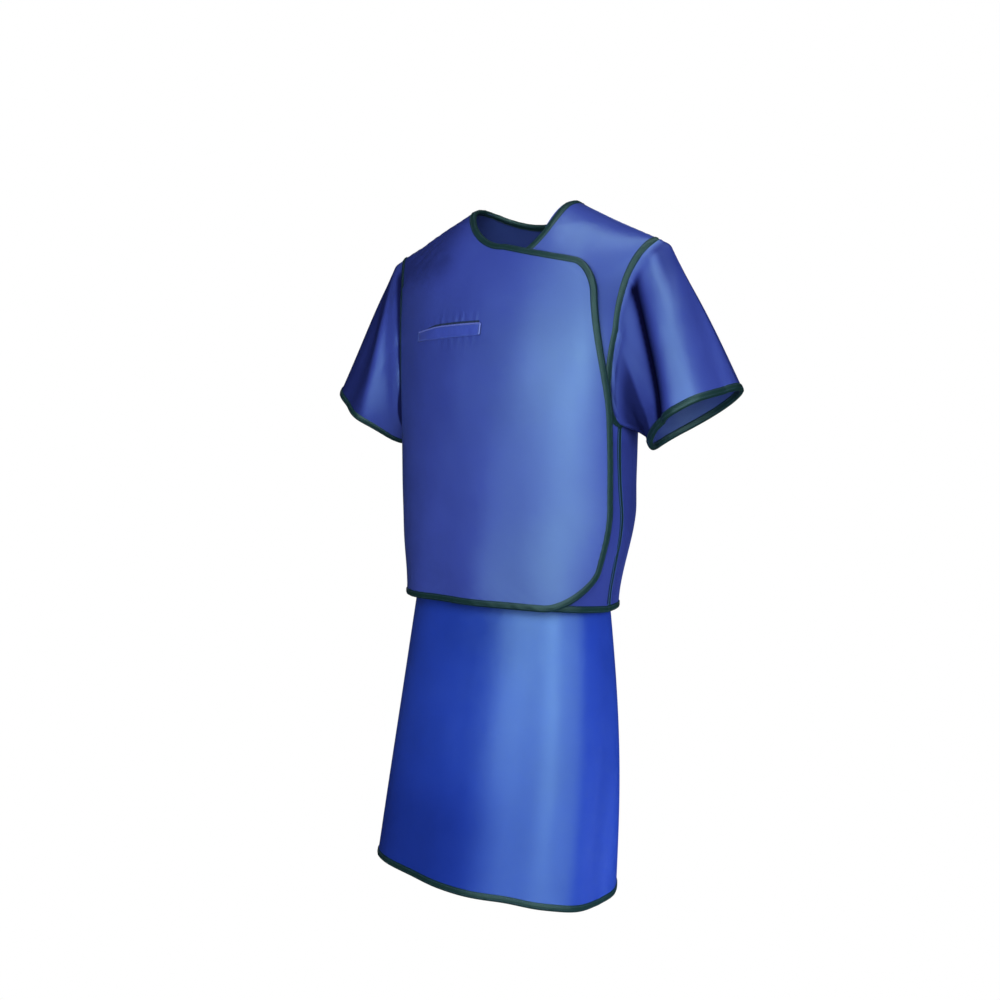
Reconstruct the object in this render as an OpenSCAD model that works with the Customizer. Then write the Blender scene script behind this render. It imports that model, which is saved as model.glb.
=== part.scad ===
// Two-piece X-ray protective suit: a short-sleeved wrap vest over a wrap skirt.
// Millimetres. X is the wearer's left, Y runs to the wearer's back, Z is up.
// The origin is the centre of the waist, at the top edge of the skirt.

/* [Vest] */
// Height of the neck point over the vest hem
vest_length = 598; // [560:1:640]
// Drop of the vest hem below the waist
vest_drop = 155; // [130:1:180]
// Width over the shoulder tips
shoulder_width = 460; // [430:1:490]
// Fall of the shoulder from the neck point to the tip
shoulder_fall = 67; // [50:1:85]
// Distance between the two neck points
neck_width = 168; // [150:1:190]
// Depth of the front neckline at the fold of the flap
neck_drop = 71; // [60:1:85]
// Drop of the back neckline
back_neck_drop = 22; // [15:1:35]
// Inside width at the chest
chest_width = 382; // [350:1:420]
// Inside width at the hem
hem_width = 336; // [310:1:370]
// Inside depth from the middle to the front
front_depth = 113; // [100:1:125]
// Inside depth from the middle to the back, at the chest
back_depth = 114; // [100:1:130]
// Inside depth from the middle to the back, at the hem
hem_back_depth = 105; // [95:1:120]
// Forward lean of the hem
hem_lean = 14; // [0:1:25]
// Height of the full chest width over the hem
chest_height = 155; // [130:1:200]
// Rise of the hem at the middle of the front
hem_rise = 8; // [0:1:20]
// Sag of the shoulder line between the neck point and the tip
shoulder_sag = 2; // [0:1:12]
// Height of the underarm over the hem
underarm_height = 278; // [240:1:320]

/* [Front] */
// Place of the flap fold, to the wearer's left of the middle
fold_x = 25; // [15:1:40]
// Place of the free edge of the left front, to the wearer's right
tip_x = 60; // [40:1:75]
// Share of the half width that the flap reaches
flap_reach = 0.963; // [0.9:0.001:0.98]
// Lean of the flap's free edge away from the armhole at its top
flap_lean = 14; // [0:1:20]
// Slope of the top edge of the flap
flap_top_slope = 0.18; // [0.1:0.01:0.3]
// Lower corner radius of the flap
flap_low_radius = 65; // [40:1:90]
// Upper corner radius of the flap
flap_top_radius = 32; // [20:1:45]
// Drop of the left front's top corner below the neck point
tip_drop = 98; // [90:1:115]

/* [Sleeve] */
// Reach of the cuff beyond the shoulder tip
cuff_out = 123; // [100:1:150]
// Fall of the cuff below the shoulder tip
cuff_fall = 209; // [180:1:240]
// Flat width of the cuff
cuff_width = 154; // [140:1:170]
// Tilt of the cuff plane
cuff_tilt = 30; // [20:1:40]
// Half depth of the cuff from front to back
cuff_half_depth = 63; // [55:1:80]
// Height of the pressed crease along the front of the sleeve
sleeve_crease = 7; // [0:1:12]

/* [Skirt] */
// Length from the waist to the hem
skirt_length = 566; // [520:1:600]
// Room between the vest hem and the skirt at each side of the hip
hip_room = 14; // [13.5:0.5:18]
// Room between the vest and the skirt at the front of the hip
front_room = 22; // [20:1:30]
// Room between the vest hem and the skirt at the back of the hip
back_room = 11; // [9:1:20]
// Width that the waist is narrower than the hip
waist_in = 25; // [10:1:40]
// Depth that the waist is shallower than the hip, at the front and at the back
waist_step = 5; // [0:1:12]
// Inside width at the hem
skirt_hem_width = 369; // [340:1:390]
// Inside depth from the middle to the front, at the hem
skirt_front_depth = 114; // [100:1:130]
// Inside depth from the middle to the back, at the hem
skirt_back_depth = 143; // [125:1:160]
// Forward lean of the middle at the waist
waist_lean = 2; // [0:1:10]
// Forward lean of the middle at the hem
skirt_hem_lean = 76; // [50:1:90]
// Sideways lean of the middle at the hip
hip_sway = 3.8; // [0:0.2:5]
// Sideways lean of the middle at the hem
hem_sway = 12; // [0:1:20]
// Rise of the hem at the middle of the front
skirt_rise = 18; // [0:1:30]
// Fall of the hem at the wearer's left side
skirt_tilt = 4.5; // [0:0.5:10]
// Fullness at the wearer's left between the hip and the hem
skirt_full = 10; // [0:1:20]
// Depth of the hanging folds at the hem
skirt_fold = 3; // [0:0.5:5]
// Fold count round the skirt
skirt_folds = 6; // [4:1:8]
// Lap of the wrap over its under end, in grid columns
lap_columns = 4; // [3:1:6]
// Height of the loose corner of the wrap
corner_height = 378; // [330:1:385]

/* [Layers] */
// Thickness of the outer cover
cover_t = 0.5; // [0.3:0.1:1]
// Thickness of the lead-rubber core
core_t = 1.6; // [1:0.1:2.5]
// Thickness of the lining
lining_t = 0.4; // [0.3:0.1:0.8]
// Play between the lining and the core
layer_play = 0.2; // [0.15:0.05:0.4]
// Room between the core and the cover
pocket_room = 1.1; // [1:0.1:1.5]
// Thickness of the binding tape
tape_t = 0.6; // [0.5:0.1:1]
// Width of the binding tape on each side of an edge
tape_w = 9; // [7:0.5:12]
// Play between a tape and the panel in it
tape_play = 0.6; // [0.4:0.05:0.8]
// Thickness of each closure strip
strip_t = 1.1; // [0.8:0.1:1.5]
// Play between the two closure strips
strip_play = 1.6; // [1.2:0.1:2]
// Play between two panels at a seam
seam_play = 0.6; // [0.4:0.1:1]

/* [Pocket] */
// Height of the pocket welt
welt_h = 20; // [14:1:26]
// Height of the welt's lower edge over the hem, at its end by the fold
welt_v = 402; // [390:1:420]
// Rise of the welt towards the wearer's left over its width
welt_rise = 14; // [5:1:20]

/* [Hidden] */
roundness = 2.3;
neck_half = neck_width/2;
tip_half = shoulder_width/2;
tip_v = vest_length - shoulder_fall;
ridge_neck_y = 35;
ridge_tip_y = 18;
front_roll = 310;
back_roll = 140;
side_lean_angle = 10;
arm_mid = (tip_v + underarm_height)/2;
arm_half = (tip_v - underarm_height)/2;
arm_front_angle = 15.5;
arm_back_angle = 26;
arm_cap_angle = 12;
flap_arc = 190;
tip_neck_pow = [0.6, 0.8];
neck_columns = 3;
tip_columns = 4;
shoulder_columns = 5;
flap_columns = 7;
back_neck_columns = 4;
back_shoulder_columns = 3;
side_rows = 3;
arm_rows = 6;
flap_rows = 8;
row_power = 1.5;
column_power = 1.4;
sleeve_columns = 14;
sleeve_rows = 4;
root_top = 4;
root_low = 11.4;
crease_angle = 96;
crease_spread_angle = 22;
cuff_bulge = 7;
column_angle = 15;
under_angle = -40;
skirt_roundness = 2.15;
hip_depth = 145;
hip_width = hem_width - 2*hip_room;
hip_front = front_depth - front_room;
hip_back = hem_back_depth - back_room;
skirt_width = [hip_width - waist_in, hip_width, skirt_hem_width];
skirt_front = [hip_front - waist_step, hip_front, skirt_front_depth];
skirt_back = [hip_back - waist_step, hip_back, skirt_back_depth];
skirt_lean = [waist_lean, hem_lean, skirt_hem_lean];
skirt_sway = [hip_sway, hip_sway, hem_sway];
corner_rows = 3;
corner_columns = 3;
corner_angle = 45;
nose_angle = 2.5;
corner_play_angle = 0.2;
slant_power = 8;
probe = 0.5;
strip_depth = 100;
lap_start_angle = -285;
wrap_room = 1;
sliver = 0.01;
lap_turn_angle = 75;
cover_lo = lining_t + layer_play + core_t + pocket_room;
stack_t = cover_lo + cover_t;
core_lo = lining_t + layer_play;
core_hi = core_lo + core_t;
strip_gap = 0.2;
lap = stack_t + 2*strip_t + strip_play + 2*strip_gap;
lap_from = -135;
lap_room = 58;
lap_top = vest_length - tip_drop + lap_room/2;
welt_t = 0.9;
welt_rest = 0.8;
seam_rest = 0.3;
seam_tape_w = 8;
tape_rest = 0.6;
strip_shares = [0.05, 0.88];
bag_t = 0.7;
welt_columns = [0.4, 1, 2, 3, 4];
covers = "RoyalBlue";
tapes = "DarkSlateGray";
rubbers = "DimGray";
linings = "LightSteelBlue";
strips = "SlateGray";

function clamp01(t) = max(0, min(1, t));
function ease(t) = let (c = clamp01(t)) c*c*(3 - 2*c);
function mix(a, b, t) = a + (b - a)*t;
function unit(p) = p/norm(p);
function flip_x(p) = [-p[0], p[1], p[2]];
function reverse(a) = [for (i = [len(a) - 1:-1:0]) a[i]];

// Section of the vest, as a function of the height v over its hem
function vest_half(v) = v < chest_height
    ? mix(hem_width, chest_width, ease(v/chest_height))/2
    : mix(chest_width/2, tip_half, pow(clamp01((v - chest_height)/(tip_v - chest_height)), 2.5));
function vest_lean(v) = -hem_lean*(1 - ease(v/chest_height));
function vest_back_at(v) = mix(hem_back_depth, back_depth, ease(v/chest_height));
function past_neck(x) = clamp01((abs(x) - neck_half)/(tip_half - neck_half));
function shoulder_v(x) = let (p = past_neck(x)) vest_length - shoulder_fall*p - shoulder_sag*sin(180*p);
function ridge_y(x) = mix(ridge_neck_y, ridge_tip_y, past_neck(x));
function bow(c) = pow(max(0, 1 - pow(min(1, abs(c)), roundness)), 1/roundness);
function roll(x, v, h) = let (q = clamp01((shoulder_v(x) - v)/h)) sqrt(1 - (1 - q)*(1 - q));
function front_point(x, v) =
    let (c = bow(x/vest_half(v)), y = vest_lean(v) - front_depth*c)
    [x, mix(ridge_y(x), y, roll(x, v, front_roll)) - seam_play/2,
        v - vest_drop + hem_rise*c*(1 - ease(v/chest_height))];
function squared(a) = sign(a)*pow(abs(sin(a)), 2/roundness);
// The back is a function of the angle from its middle, and may reach past the side
function back_point(a, v) =
    let (x = vest_half(v)*squared(a), c = bow(squared(a)), past = abs(a) > 90,
        y = vest_lean(v) + (past ? -front_depth : vest_back_at(v))*c)
    [x, mix(ridge_y(x), y, roll(x, v, past ? front_roll : back_roll)) + seam_play/2,
        v - vest_drop + (past ? hem_rise*c*(1 - ease(v/chest_height)) : 0)];

// Side seam and armhole, as an angle round the section
function side_angle(v) = 90 - side_lean_angle*(v < underarm_height
    ? ease(v/underarm_height)
    : 1 - (v - underarm_height)/(tip_v - underarm_height));
function arm_open(v) = let (a = (v - arm_mid)/arm_half) v < underarm_height ? 0 : sqrt(max(0, 1 - a*a));
function arm_cap(v) = let (c = clamp01((v - arm_mid)/arm_half)) c*sqrt(1 - pow(c, 6));
// The cap's curve fades from the armhole, where s is 1, to the middle of the panel
function front_edge_x(v, s = 1) = vest_half(v)*pow(
    sin(side_angle(v) - arm_front_angle*arm_open(v) - arm_cap_angle*arm_cap(v)*pow(s, 4)), 2/roundness);
function back_edge_angle(v) = side_angle(v) + arm_back_angle*arm_open(v);

// Necklines
function right_neck_v(x) = vest_length - neck_drop*sin(90*clamp01((x + neck_half)/(fold_x + neck_half)));
function left_neck_v(x) =
    let (a = acos(pow(clamp01((x + tip_x)/(neck_half + tip_x)), 1/tip_neck_pow[0])))
    vest_length - tip_drop*pow(sin(a), tip_neck_pow[1]);

// Shares along a panel: even up to the neck point, then closer towards the armhole
function shares(neck_share, n) = concat(
    [for (k = [0:n]) neck_share*k/n],
    [for (k = [1:shoulder_columns]) mix(neck_share, 1, sin(90*k/shoulder_columns))]);
// Shares up a panel: even up to the underarm, then closer towards the shoulder
function closer(t) = 1 - pow(1 - t, row_power);
rows = let (arm_share = underarm_height/tip_v) concat(
    [for (k = [0:side_rows]) arm_share*k/side_rows],
    [for (k = [1:arm_rows]) mix(arm_share, 1, closer(k/arm_rows))]);

// The right front lies over the left one, and comes down to it at the shoulder
function lap_off(p) = let (v = p[2] + vest_drop)
    lap*ease((p[0] - lap_from)/lap_room)
    *(1 - ease((v - lap_top)/lap_room)*(1 - ease((p[0] + tip_x)/lap_room)));
right_shares = shares((fold_x + neck_half)/(fold_x + tip_half), neck_columns);
right_base = [for (t = rows)
    [for (s = right_shares)
        let (top_x = mix(fold_x, -tip_half, s),
            top = top_x > -neck_half ? right_neck_v(top_x) : shoulder_v(top_x))
        front_point(mix(fold_x - seam_play/2, -front_edge_x(t*tip_v, s), s), t*top)]];
right_up = normals(right_base, -1);
right_front = panel([for (i = [0:len(rows) - 1])
    [for (j = [0:len(right_shares) - 1]) right_base[i][j] + right_up[i][j]*lap_off(right_base[i][j])]], -1);

left_shares = shares((tip_x + neck_half)/(tip_x + tip_half), tip_columns);
left_front = panel([for (t = rows)
    [for (s = left_shares)
        let (top_x = mix(-tip_x, tip_half, s),
            top = top_x < neck_half ? left_neck_v(top_x) : shoulder_v(top_x))
        front_point(mix(-tip_x, front_edge_x(t*tip_v, s), s), t*top)]], 1);

function flap_edge_x(v) = flap_reach*min(vest_half(v), chest_width/2)
    - flap_lean*ease((v - underarm_height)/(tip_v - underarm_height));
function corner_cut(d, r) = r - sqrt(r*r - pow(max(0, r - d), 2));
function flap_low(s) = corner_cut((1 - s)*flap_arc, flap_low_radius);
function flap_top(s) = vest_length - neck_drop - flap_top_slope*s*(chest_width/2 - fold_x)
    - corner_cut((1 - s)*flap_arc, flap_top_radius);
front_flap = panel(raised(panel([for (i = [0:flap_rows])
    [for (j = [0:flap_columns])
        let (s = 1 - pow(1 - j/flap_columns, column_power),
            v = mix(flap_low(s), flap_top(s), closer(i/flap_rows)))
        front_point(mix(fold_x + seam_play/2, flap_edge_x(v), s), v)]], 1), lap), 1);

// Back panel, from the wearer's left side to the right
back_neck_angle = asin(pow(neck_half/tip_half, roundness/2));
back_angles = concat(
    [for (k = [0:back_shoulder_columns]) mix(90, back_neck_angle, k/back_shoulder_columns)],
    [for (k = [1:back_neck_columns]) mix(back_neck_angle, -back_neck_angle, k/back_neck_columns)],
    [for (k = [1:back_shoulder_columns]) mix(-back_neck_angle, -90, k/back_shoulder_columns)]);
function back_top(x) = abs(x) < neck_half
    ? vest_length - back_neck_drop*(1 - pow(x/neck_half, 2))
    : shoulder_v(x);
vest_back = panel([for (t = rows)
    [for (a = back_angles)
        back_point(a*(180 - back_edge_angle(t*tip_v))/90, t*back_top(tip_half*squared(a)))]], 1);

// Left sleeve: round the armhole from the shoulder tip over the front, and out to the cuff
function arm_point(a) = let (v = arm_mid + arm_half*cos(a))
    a <= 180 ? front_point(front_edge_x(v), v)
    : back_point(180 - back_edge_angle(v), v);
cuff_axis = [cos(cuff_tilt), 0, sin(cuff_tilt)];
cuff_top = [tip_half + cuff_out, ridge_tip_y, tip_v - cuff_fall - vest_drop];
cuff_mid = cuff_top - cuff_axis*cuff_width/2;
function cuff_point(a) = cuff_mid + cuff_axis*cuff_width/2*cos(a) - [0, cuff_half_depth*sin(a), 0];
function crease(a) = exp(-pow((a - crease_angle)/crease_spread_angle, 2));
left_sleeve_grid = [for (i = [0:sleeve_rows]) let (t = i/sleeve_rows)
    [for (j = [0:sleeve_columns - 1])
        let (a = 360*j/sleeve_columns, root = mix(root_top, root_low, (1 - cos(a))/2))
        mix(arm_point(a) + [root, 0, 0], cuff_point(a), t)
        + [0, -sleeve_crease*crease(a)*t, cuff_bulge*sin(180*t)*max(0, cos(a))]]];
left_sleeve = panel(left_sleeve_grid, 1, true);
right_sleeve = [for (g = left_sleeve) [for (row = g) reverse([for (p = row) flip_x(p)])]];

// Skirt: one long panel that starts under the front and laps over itself at the wearer's right
wrap_columns = 360/column_angle + lap_columns;
end_angle = under_angle - wrap_columns*column_angle;
function skirt_at(a, d) = d < hip_depth
    ? mix(a[0], a[1], ease(d/hip_depth))
    : mix(a[1], a[2], (d - hip_depth)/(skirt_length - hip_depth));
function skirt_wave(phi, low) = skirt_fold*low*cos(skirt_folds*phi);
function skirt_lap(phi, low) = (lap + wrap_room*low)*ease((lap_start_angle - phi)/lap_turn_angle);
function skirt_point(phi, d) =
    let (half = skirt_at(skirt_width, d)/2,
        depth = cos(phi) > 0 ? skirt_at(skirt_front, d) : skirt_at(skirt_back, d),
        low = clamp01((d - hip_depth)/(skirt_length - hip_depth)),
        out = skirt_lap(phi, low) + skirt_wave(phi, low) + skirt_full*sin(180*low)*max(0, sin(phi)),
        lift = low*(skirt_rise*max(0, cos(phi)) - skirt_tilt*sin(phi)),
        power = 2/skirt_roundness)
    [half*sign(sin(phi))*pow(abs(sin(phi)), power) + out*sin(phi) + skirt_at(skirt_sway, d),
        -depth*sign(cos(phi))*pow(abs(cos(phi)), power) - out*cos(phi) - skirt_at(skirt_lean, d), lift - d];
corner_from = skirt_length - corner_height;
function corner_phi(d) = d < corner_from ? end_angle
    : end_angle + mix(nose_angle, corner_angle, (d - corner_from)/corner_height);
skirt_depths = [0, strip_depth, corner_from - seam_play,
    for (k = [0:corner_rows]) corner_from + corner_height*k/corner_rows];
function skirt_up(phi, d) = unit(cross(
    skirt_point(phi, d - probe) - skirt_point(phi, d + probe),
    skirt_point(phi - probe, d) - skirt_point(phi + probe, d)));
function skirt_panel(angles, depths) = [
    [for (i = [0:len(depths) - 1]) [for (phi = angles[i]) skirt_point(phi, depths[i])]],
    [for (i = [0:len(depths) - 1]) [for (phi = angles[i]) skirt_up(phi, depths[i])]]];
skirt = let (depths = reverse(skirt_depths))
    skirt_panel([for (d = depths) [for (k = [0:wrap_columns])
        under_angle - k*column_angle + (corner_phi(d) - end_angle)*pow(k/wrap_columns, slant_power)]], depths);
skirt_corner = let (depths = [for (i = [corner_rows:-1:0]) corner_from + corner_height*i/corner_rows])
    skirt_panel([for (d = depths) [for (k = [0:corner_columns])
        mix(corner_phi(d) - corner_play_angle, end_angle, k/corner_columns)]], depths);

// A panel is a grid of points and the grid of its outward unit normals
function normals(g, side, ring = false) =
    let (m = len(g) - 1, n = len(g[0]))
    [for (i = [0:m]) [for (j = [0:n - 1])
        let (up = g[min(i + 1, m)][j] - g[max(i - 1, 0)][j],
            next = ring ? (j + 1)%n : min(j + 1, n - 1),
            last = ring ? (j + n - 1)%n : max(j - 1, 0),
            across = g[i][next] - g[i][last])
        unit(cross(across, up))*side]];
function panel(g, side, ring = false) = [g, normals(g, side, ring)];
function raised(p, h) = p[0] + p[1]*h;
function part_of(p, i0, i1, j0, j1) = [for (g = p) [for (i = [i0:i1]) [for (j = [j0:j1]) g[i][j]]]];
function flat_list(g) = [for (row = g) for (p = row) p];

// A closed sheet between two raised copies of one panel
module layer(p, from, to, ring = false) {
    lo = raised(p, from);
    hi = raised(p, to);
    m = len(lo);
    n = len(lo[0]);
    top = m*n;
    cells = ring ? n : n - 1;
    e = (m - 1)*n;
    quads = concat(
        [for (i = [0:m - 2]) for (j = [0:cells - 1]) let (k = (j + 1)%n)
            [i*n + j, i*n + k, (i + 1)*n + k, (i + 1)*n + j]],
        [for (i = [0:m - 2]) for (j = [0:cells - 1]) let (k = (j + 1)%n)
            [top + i*n + j, top + (i + 1)*n + j, top + (i + 1)*n + k, top + i*n + k]],
        [for (j = [0:cells - 1]) let (k = (j + 1)%n) [j, top + j, top + k, k]],
        [for (j = [0:cells - 1]) let (k = (j + 1)%n) [e + k, top + e + k, top + e + j, e + j]],
        ring ? [] : [for (i = [0:m - 2]) [(i + 1)*n, top + (i + 1)*n, top + i*n, i*n]],
        ring ? [] : [for (i = [0:m - 2]) let (z = i*n + n - 1) [z, top + z, top + z + n, z + n]]);
    polyhedron(concat(flat_list(lo), flat_list(hi)), split_quads(quads));
}
function split_quads(quads) = [for (q = quads) each [[q[0], q[1], q[2]], [q[0], q[2], q[3]]]];

module cover(p, ring = false) {
    color(covers) layer(p, cover_lo, stack_t, ring);
}
module core(p, ring = false) {
    color(rubbers) layer(p, core_lo, core_hi, ring);
}
module lining(p, ring = false) {
    color(linings) layer(p, 0, lining_t, ring);
}

// An edge point: place and normal, the same of the grid point next to it inside the panel,
// the way there, the tape's share of it, and the lean of the panel's diagonals along the path
function edge_point(p, i, j, m, k, lean) = let (way = p[0][m][k] - p[0][i][j])
    [p[0][i][j], p[1][i][j], p[0][m][k], p[1][m][k], unit(way), tape_w/norm(way), lean];
function edge_row(p, i, inner) = [for (j = [0:len(p[0][0]) - 1]) edge_point(p, i, j, inner, j, inner - i)];
function edge_column(p, j, inner) = [for (i = [0:len(p[0]) - 1]) edge_point(p, i, j, i, inner, inner - j)];
function turned(path) = reverse([for (e = path) [e[0], e[1], e[2], e[3], e[4], e[5], -e[6]]]);
// A path with one more ring along each diagonal of the panel, where its cells are warped
function diagonal(a, b) = [mix(a[0], b[0], sliver), mix(a[1], b[1], sliver), b[2], b[3], a[4], b[5], a[6]];
function creased(path, closed = false) = let (n = len(path))
    [for (i = [0:n - 1]) let (a = path[i], b = path[(i + 1)%n])
        each i == n - 1 && !closed ? [a] : a[6] > 0 ? [a, diagonal(a, b)] : [a, diagonal(b, a)]];
function slice(a, from, to) = [for (i = [from:to]) a[i]];
function between(a, b, far) = let (e = mix(a, b, far/norm(b[0] - a[0])), way = e[2] - e[0])
    [e[0], e[1], e[2], e[3], unit(way), tape_w/norm(way), e[6]];
function shortened(path, from, to) = let (n = len(path) - 1)
    [for (i = [0:n]) i == 0 ? between(path[0], path[1], from)
        : i == n ? between(path[n], path[n - 1], to) : path[i]];

// Folded tape round an edge, on the lines of the panel's own grid
function tape_ring(e) =
    let (a = tape_play, b = tape_play + tape_t, heights = [stack_t + b, -b, -a, stack_t + a],
        edge = [for (h = heights) e[0] + e[1]*h],
        leg = mix(edge, [for (h = heights) e[2] + e[3]*h], e[5]))
    [leg[0], edge[0] - e[4]*b, edge[1] - e[4]*b, leg[1], leg[2], edge[2] - e[4]*a, edge[3] - e[4]*a, leg[3]];
module tape(path, closed = false) {
    k = 8;
    n = len(path);
    points = [for (e = path) each tape_ring(e)];
    quads = [for (i = [0:closed ? n - 1 : n - 2]) for (j = [0:k - 1])
        let (m = (i + 1)%n, l = (j + 1)%k, inward = path[i][6] > 0)
        j%4 == (inward ? 0 : 2)
            ? [i*k + l, m*k + l, m*k + j, i*k + j]
            : [i*k + j, i*k + l, m*k + l, m*k + j]];
    z = (n - 1)*k;
    caps = closed ? [] : [[7, 6, 1, 0], [6, 5, 2, 1], [5, 4, 3, 2],
        [z, z + 1, z + 6, z + 7], [z + 1, z + 2, z + 5, z + 6], [z + 2, z + 3, z + 4, z + 5]];
    color(tapes) polyhedron(points, split_quads(concat(quads, caps)));
}
right_last = neck_columns + shoulder_columns;
left_last = tip_columns + shoulder_columns;
back_last = 2*back_shoulder_columns + back_neck_columns;
back_neck_last = back_shoulder_columns + back_neck_columns;
row_last = side_rows + arm_rows;
skirt_row_last = len(skirt_depths) - 1;
corner_gap = tape_w + 1;

// Vest panels
module vest_back_cover() { cover(vest_back); }
module vest_back_core() { core(vest_back); }
module vest_back_lining() { lining(vest_back); }
module right_front_cover() { cover(right_front); }
module right_front_core() { core(right_front); }
module right_front_lining() { lining(right_front); }
module front_flap_cover() { cover(front_flap); }
module front_flap_core() { core(front_flap); }
module front_flap_lining() { lining(front_flap); }
module left_front_cover() { cover(left_front); }
module left_front_core() { core(left_front); }
module left_front_lining() { lining(left_front); }
module left_sleeve_cover() { cover(left_sleeve, true); }
module left_sleeve_core() { core(left_sleeve, true); }
module left_sleeve_lining() { lining(left_sleeve, true); }
module right_sleeve_cover() { cover(right_sleeve, true); }
module right_sleeve_core() { core(right_sleeve, true); }
module right_sleeve_lining() { lining(right_sleeve, true); }

// Vest tapes
module vest_hem_tape() {
    tape(concat(edge_row(right_front, 0, 1), turned(edge_row(vest_back, 0, 1)),
        turned(edge_row(left_front, 0, 1))));
}
module neck_tape() {
    tape(creased(concat(slice(edge_row(left_front, row_last, row_last - 1), 0, tip_columns),
        slice(edge_row(vest_back, row_last, row_last - 1), back_shoulder_columns, back_neck_last),
        turned(slice(edge_row(right_front, row_last, row_last - 1), 0, neck_columns)))));
}
flap_path = let (c = flap_columns, r = flap_rows) concat(
    slice(edge_row(front_flap, 0, 1), 0, c - 2),
    [edge_point(front_flap, 0, c - 1, 1, c - 2, 1), edge_point(front_flap, 0, c, 1, c - 1, 1)],
    slice(edge_column(front_flap, c, c - 1), 1, r - 1),
    [edge_point(front_flap, r, c, r - 1, c - 1, 1), edge_point(front_flap, r, c - 1, r - 1, c - 2, 1)],
    turned(slice(edge_row(front_flap, r, r - 1), 0, c - 2)));
module front_flap_tape() { tape(flap_path); }
module left_front_tape() { tape(shortened(edge_column(left_front, 0, 1), corner_gap, corner_gap)); }
left_arm_path = concat(slice(edge_column(left_front, left_last, left_last - 1), side_rows, row_last),
    turned(slice(edge_column(vest_back, 0, 1), side_rows, row_last)));
right_arm_path = concat(slice(edge_column(right_front, right_last, right_last - 1), side_rows, row_last),
    turned(slice(edge_column(vest_back, back_last, back_last - 1), side_rows, row_last)));
module left_armhole_tape() { tape(creased(left_arm_path, true), true); }
module right_armhole_tape() { tape(creased(turned(right_arm_path), true), true); }
function cuff_path(sleeve) = edge_row(sleeve, sleeve_rows, sleeve_rows - 1);
module left_cuff_tape() { tape(creased(cuff_path(left_sleeve), true), true); }
module right_cuff_tape() { tape(creased(cuff_path(right_sleeve), true), true); }

// Flat tape over a side seam, from the hem tape to the armhole tape
function seam_path(front, back) = shortened([for (i = [0:side_rows]) mix(front[i], back[i], 0.5)],
    corner_gap, corner_gap);
module seam_tape(path) {
    up = [for (e = path) unit(e[1])];
    across = [for (n = up) unit(cross(n, [0, 0, 1]))*seam_tape_w/2];
    strip = [[for (i = [0:len(path) - 1]) [path[i][0] - across[i], path[i][0] + across[i]]],
        [for (n = up) [n, n]]];
    color(tapes) layer(strip, stack_t + seam_rest, stack_t + seam_rest + tape_t);
}
module left_side_tape() {
    seam_tape(seam_path(edge_column(left_front, left_last, left_last - 1), edge_column(vest_back, 0, 1)));
}
module right_side_tape() {
    seam_tape(seam_path(edge_column(right_front, right_last, right_last - 1),
        edge_column(vest_back, back_last, back_last - 1)));
}

// Breast pocket: the welt lies on the grid lines of the right front
function on_column(p, j, v) =
    let (z = v - vest_drop, i = max([for (k = [0:row_last - 1]) if (p[0][k][j][2] <= z) k]),
        t = (z - p[0][i][j][2])/(p[0][i + 1][j][2] - p[0][i][j][2]))
    [for (g = p) mix(g[i][j], g[i + 1][j], t)];
function on_panel(p, c, v) = let (j = floor(c)) c == j ? on_column(p, j, v)
    : mix(on_column(p, j, v), on_column(p, j + 1, v), c - j);
welt_points = [for (h = [0, welt_h]) [for (k = [0:len(welt_columns) - 1])
    on_panel(right_front, welt_columns[k], welt_v + h - welt_rise*k/len(welt_columns))]];
welt = [for (part = [0, 1]) [for (row = welt_points) [for (w = row) w[part]]]];
module pocket_welt() {
    color(covers) layer(welt, stack_t + welt_rest, stack_t + welt_rest + welt_t);
}
module pocket_bag() {
    color(linings) layer(part_of(right_front, side_rows, side_rows + 2, 1, neck_columns + 1),
        core_hi + layer_play, core_hi + layer_play + bag_t);
}

// Front closure
module flap_hook_strip() {
    color(strips) layer(part_of(front_flap, 1, flap_rows - 2, flap_columns - 4, flap_columns - 2),
        -strip_gap - strip_t, -strip_gap);
}
module front_loop_strip() {
    color(strips) layer(part_of(left_front, 1, row_last - 3, tip_columns + 1, tip_columns + 3),
        stack_t + strip_gap, stack_t + strip_gap + strip_t);
}

// Skirt panels
module skirt_cover() { cover(skirt); }
module skirt_core() { core(skirt); }
module skirt_lining() { lining(skirt); }
module skirt_corner_cover() { cover(skirt_corner); }
module skirt_corner_core() { core(skirt_corner); }
module skirt_corner_lining() { lining(skirt_corner); }

// Skirt tapes
module skirt_waist_tape() { tape(edge_row(skirt, skirt_row_last, skirt_row_last - 1)); }
module skirt_hem_tape() { tape(edge_row(skirt, 0, 1)); }
module skirt_edge_tape() {
    tape(shortened(slice(edge_column(skirt, wrap_columns, wrap_columns - 1), corner_rows + 1, skirt_row_last),
        tape_rest, corner_gap));
}
module skirt_under_tape() { tape(shortened(edge_column(skirt, 0, 1), corner_gap, corner_gap)); }
module skirt_corner_tape() {
    tape(shortened(concat(slice(edge_row(skirt_corner, 0, 1), 0, corner_columns - 1),
        [edge_point(skirt_corner, 0, corner_columns, 1, corner_columns - 1, 1)],
        slice(edge_column(skirt_corner, corner_columns, corner_columns - 1), 1, corner_rows)),
        tape_rest, 2*tape_w));
}

// Skirt closure, on the top row of the panel between the tapes
function top_strip(from, to) = [for (g = skirt) [for (share = strip_shares)
    [for (j = [from:to]) mix(g[skirt_row_last - 1][j], g[skirt_row_last][j], share)]]];
module skirt_hook_strip() {
    color(strips) layer(top_strip(wrap_columns - 2, wrap_columns - 1), -strip_gap - strip_t, -strip_gap);
}
module skirt_loop_strip() {
    color(strips) layer(top_strip(lap_columns - 2, lap_columns - 1),
        stack_t + strip_gap, stack_t + strip_gap + strip_t);
}

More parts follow.
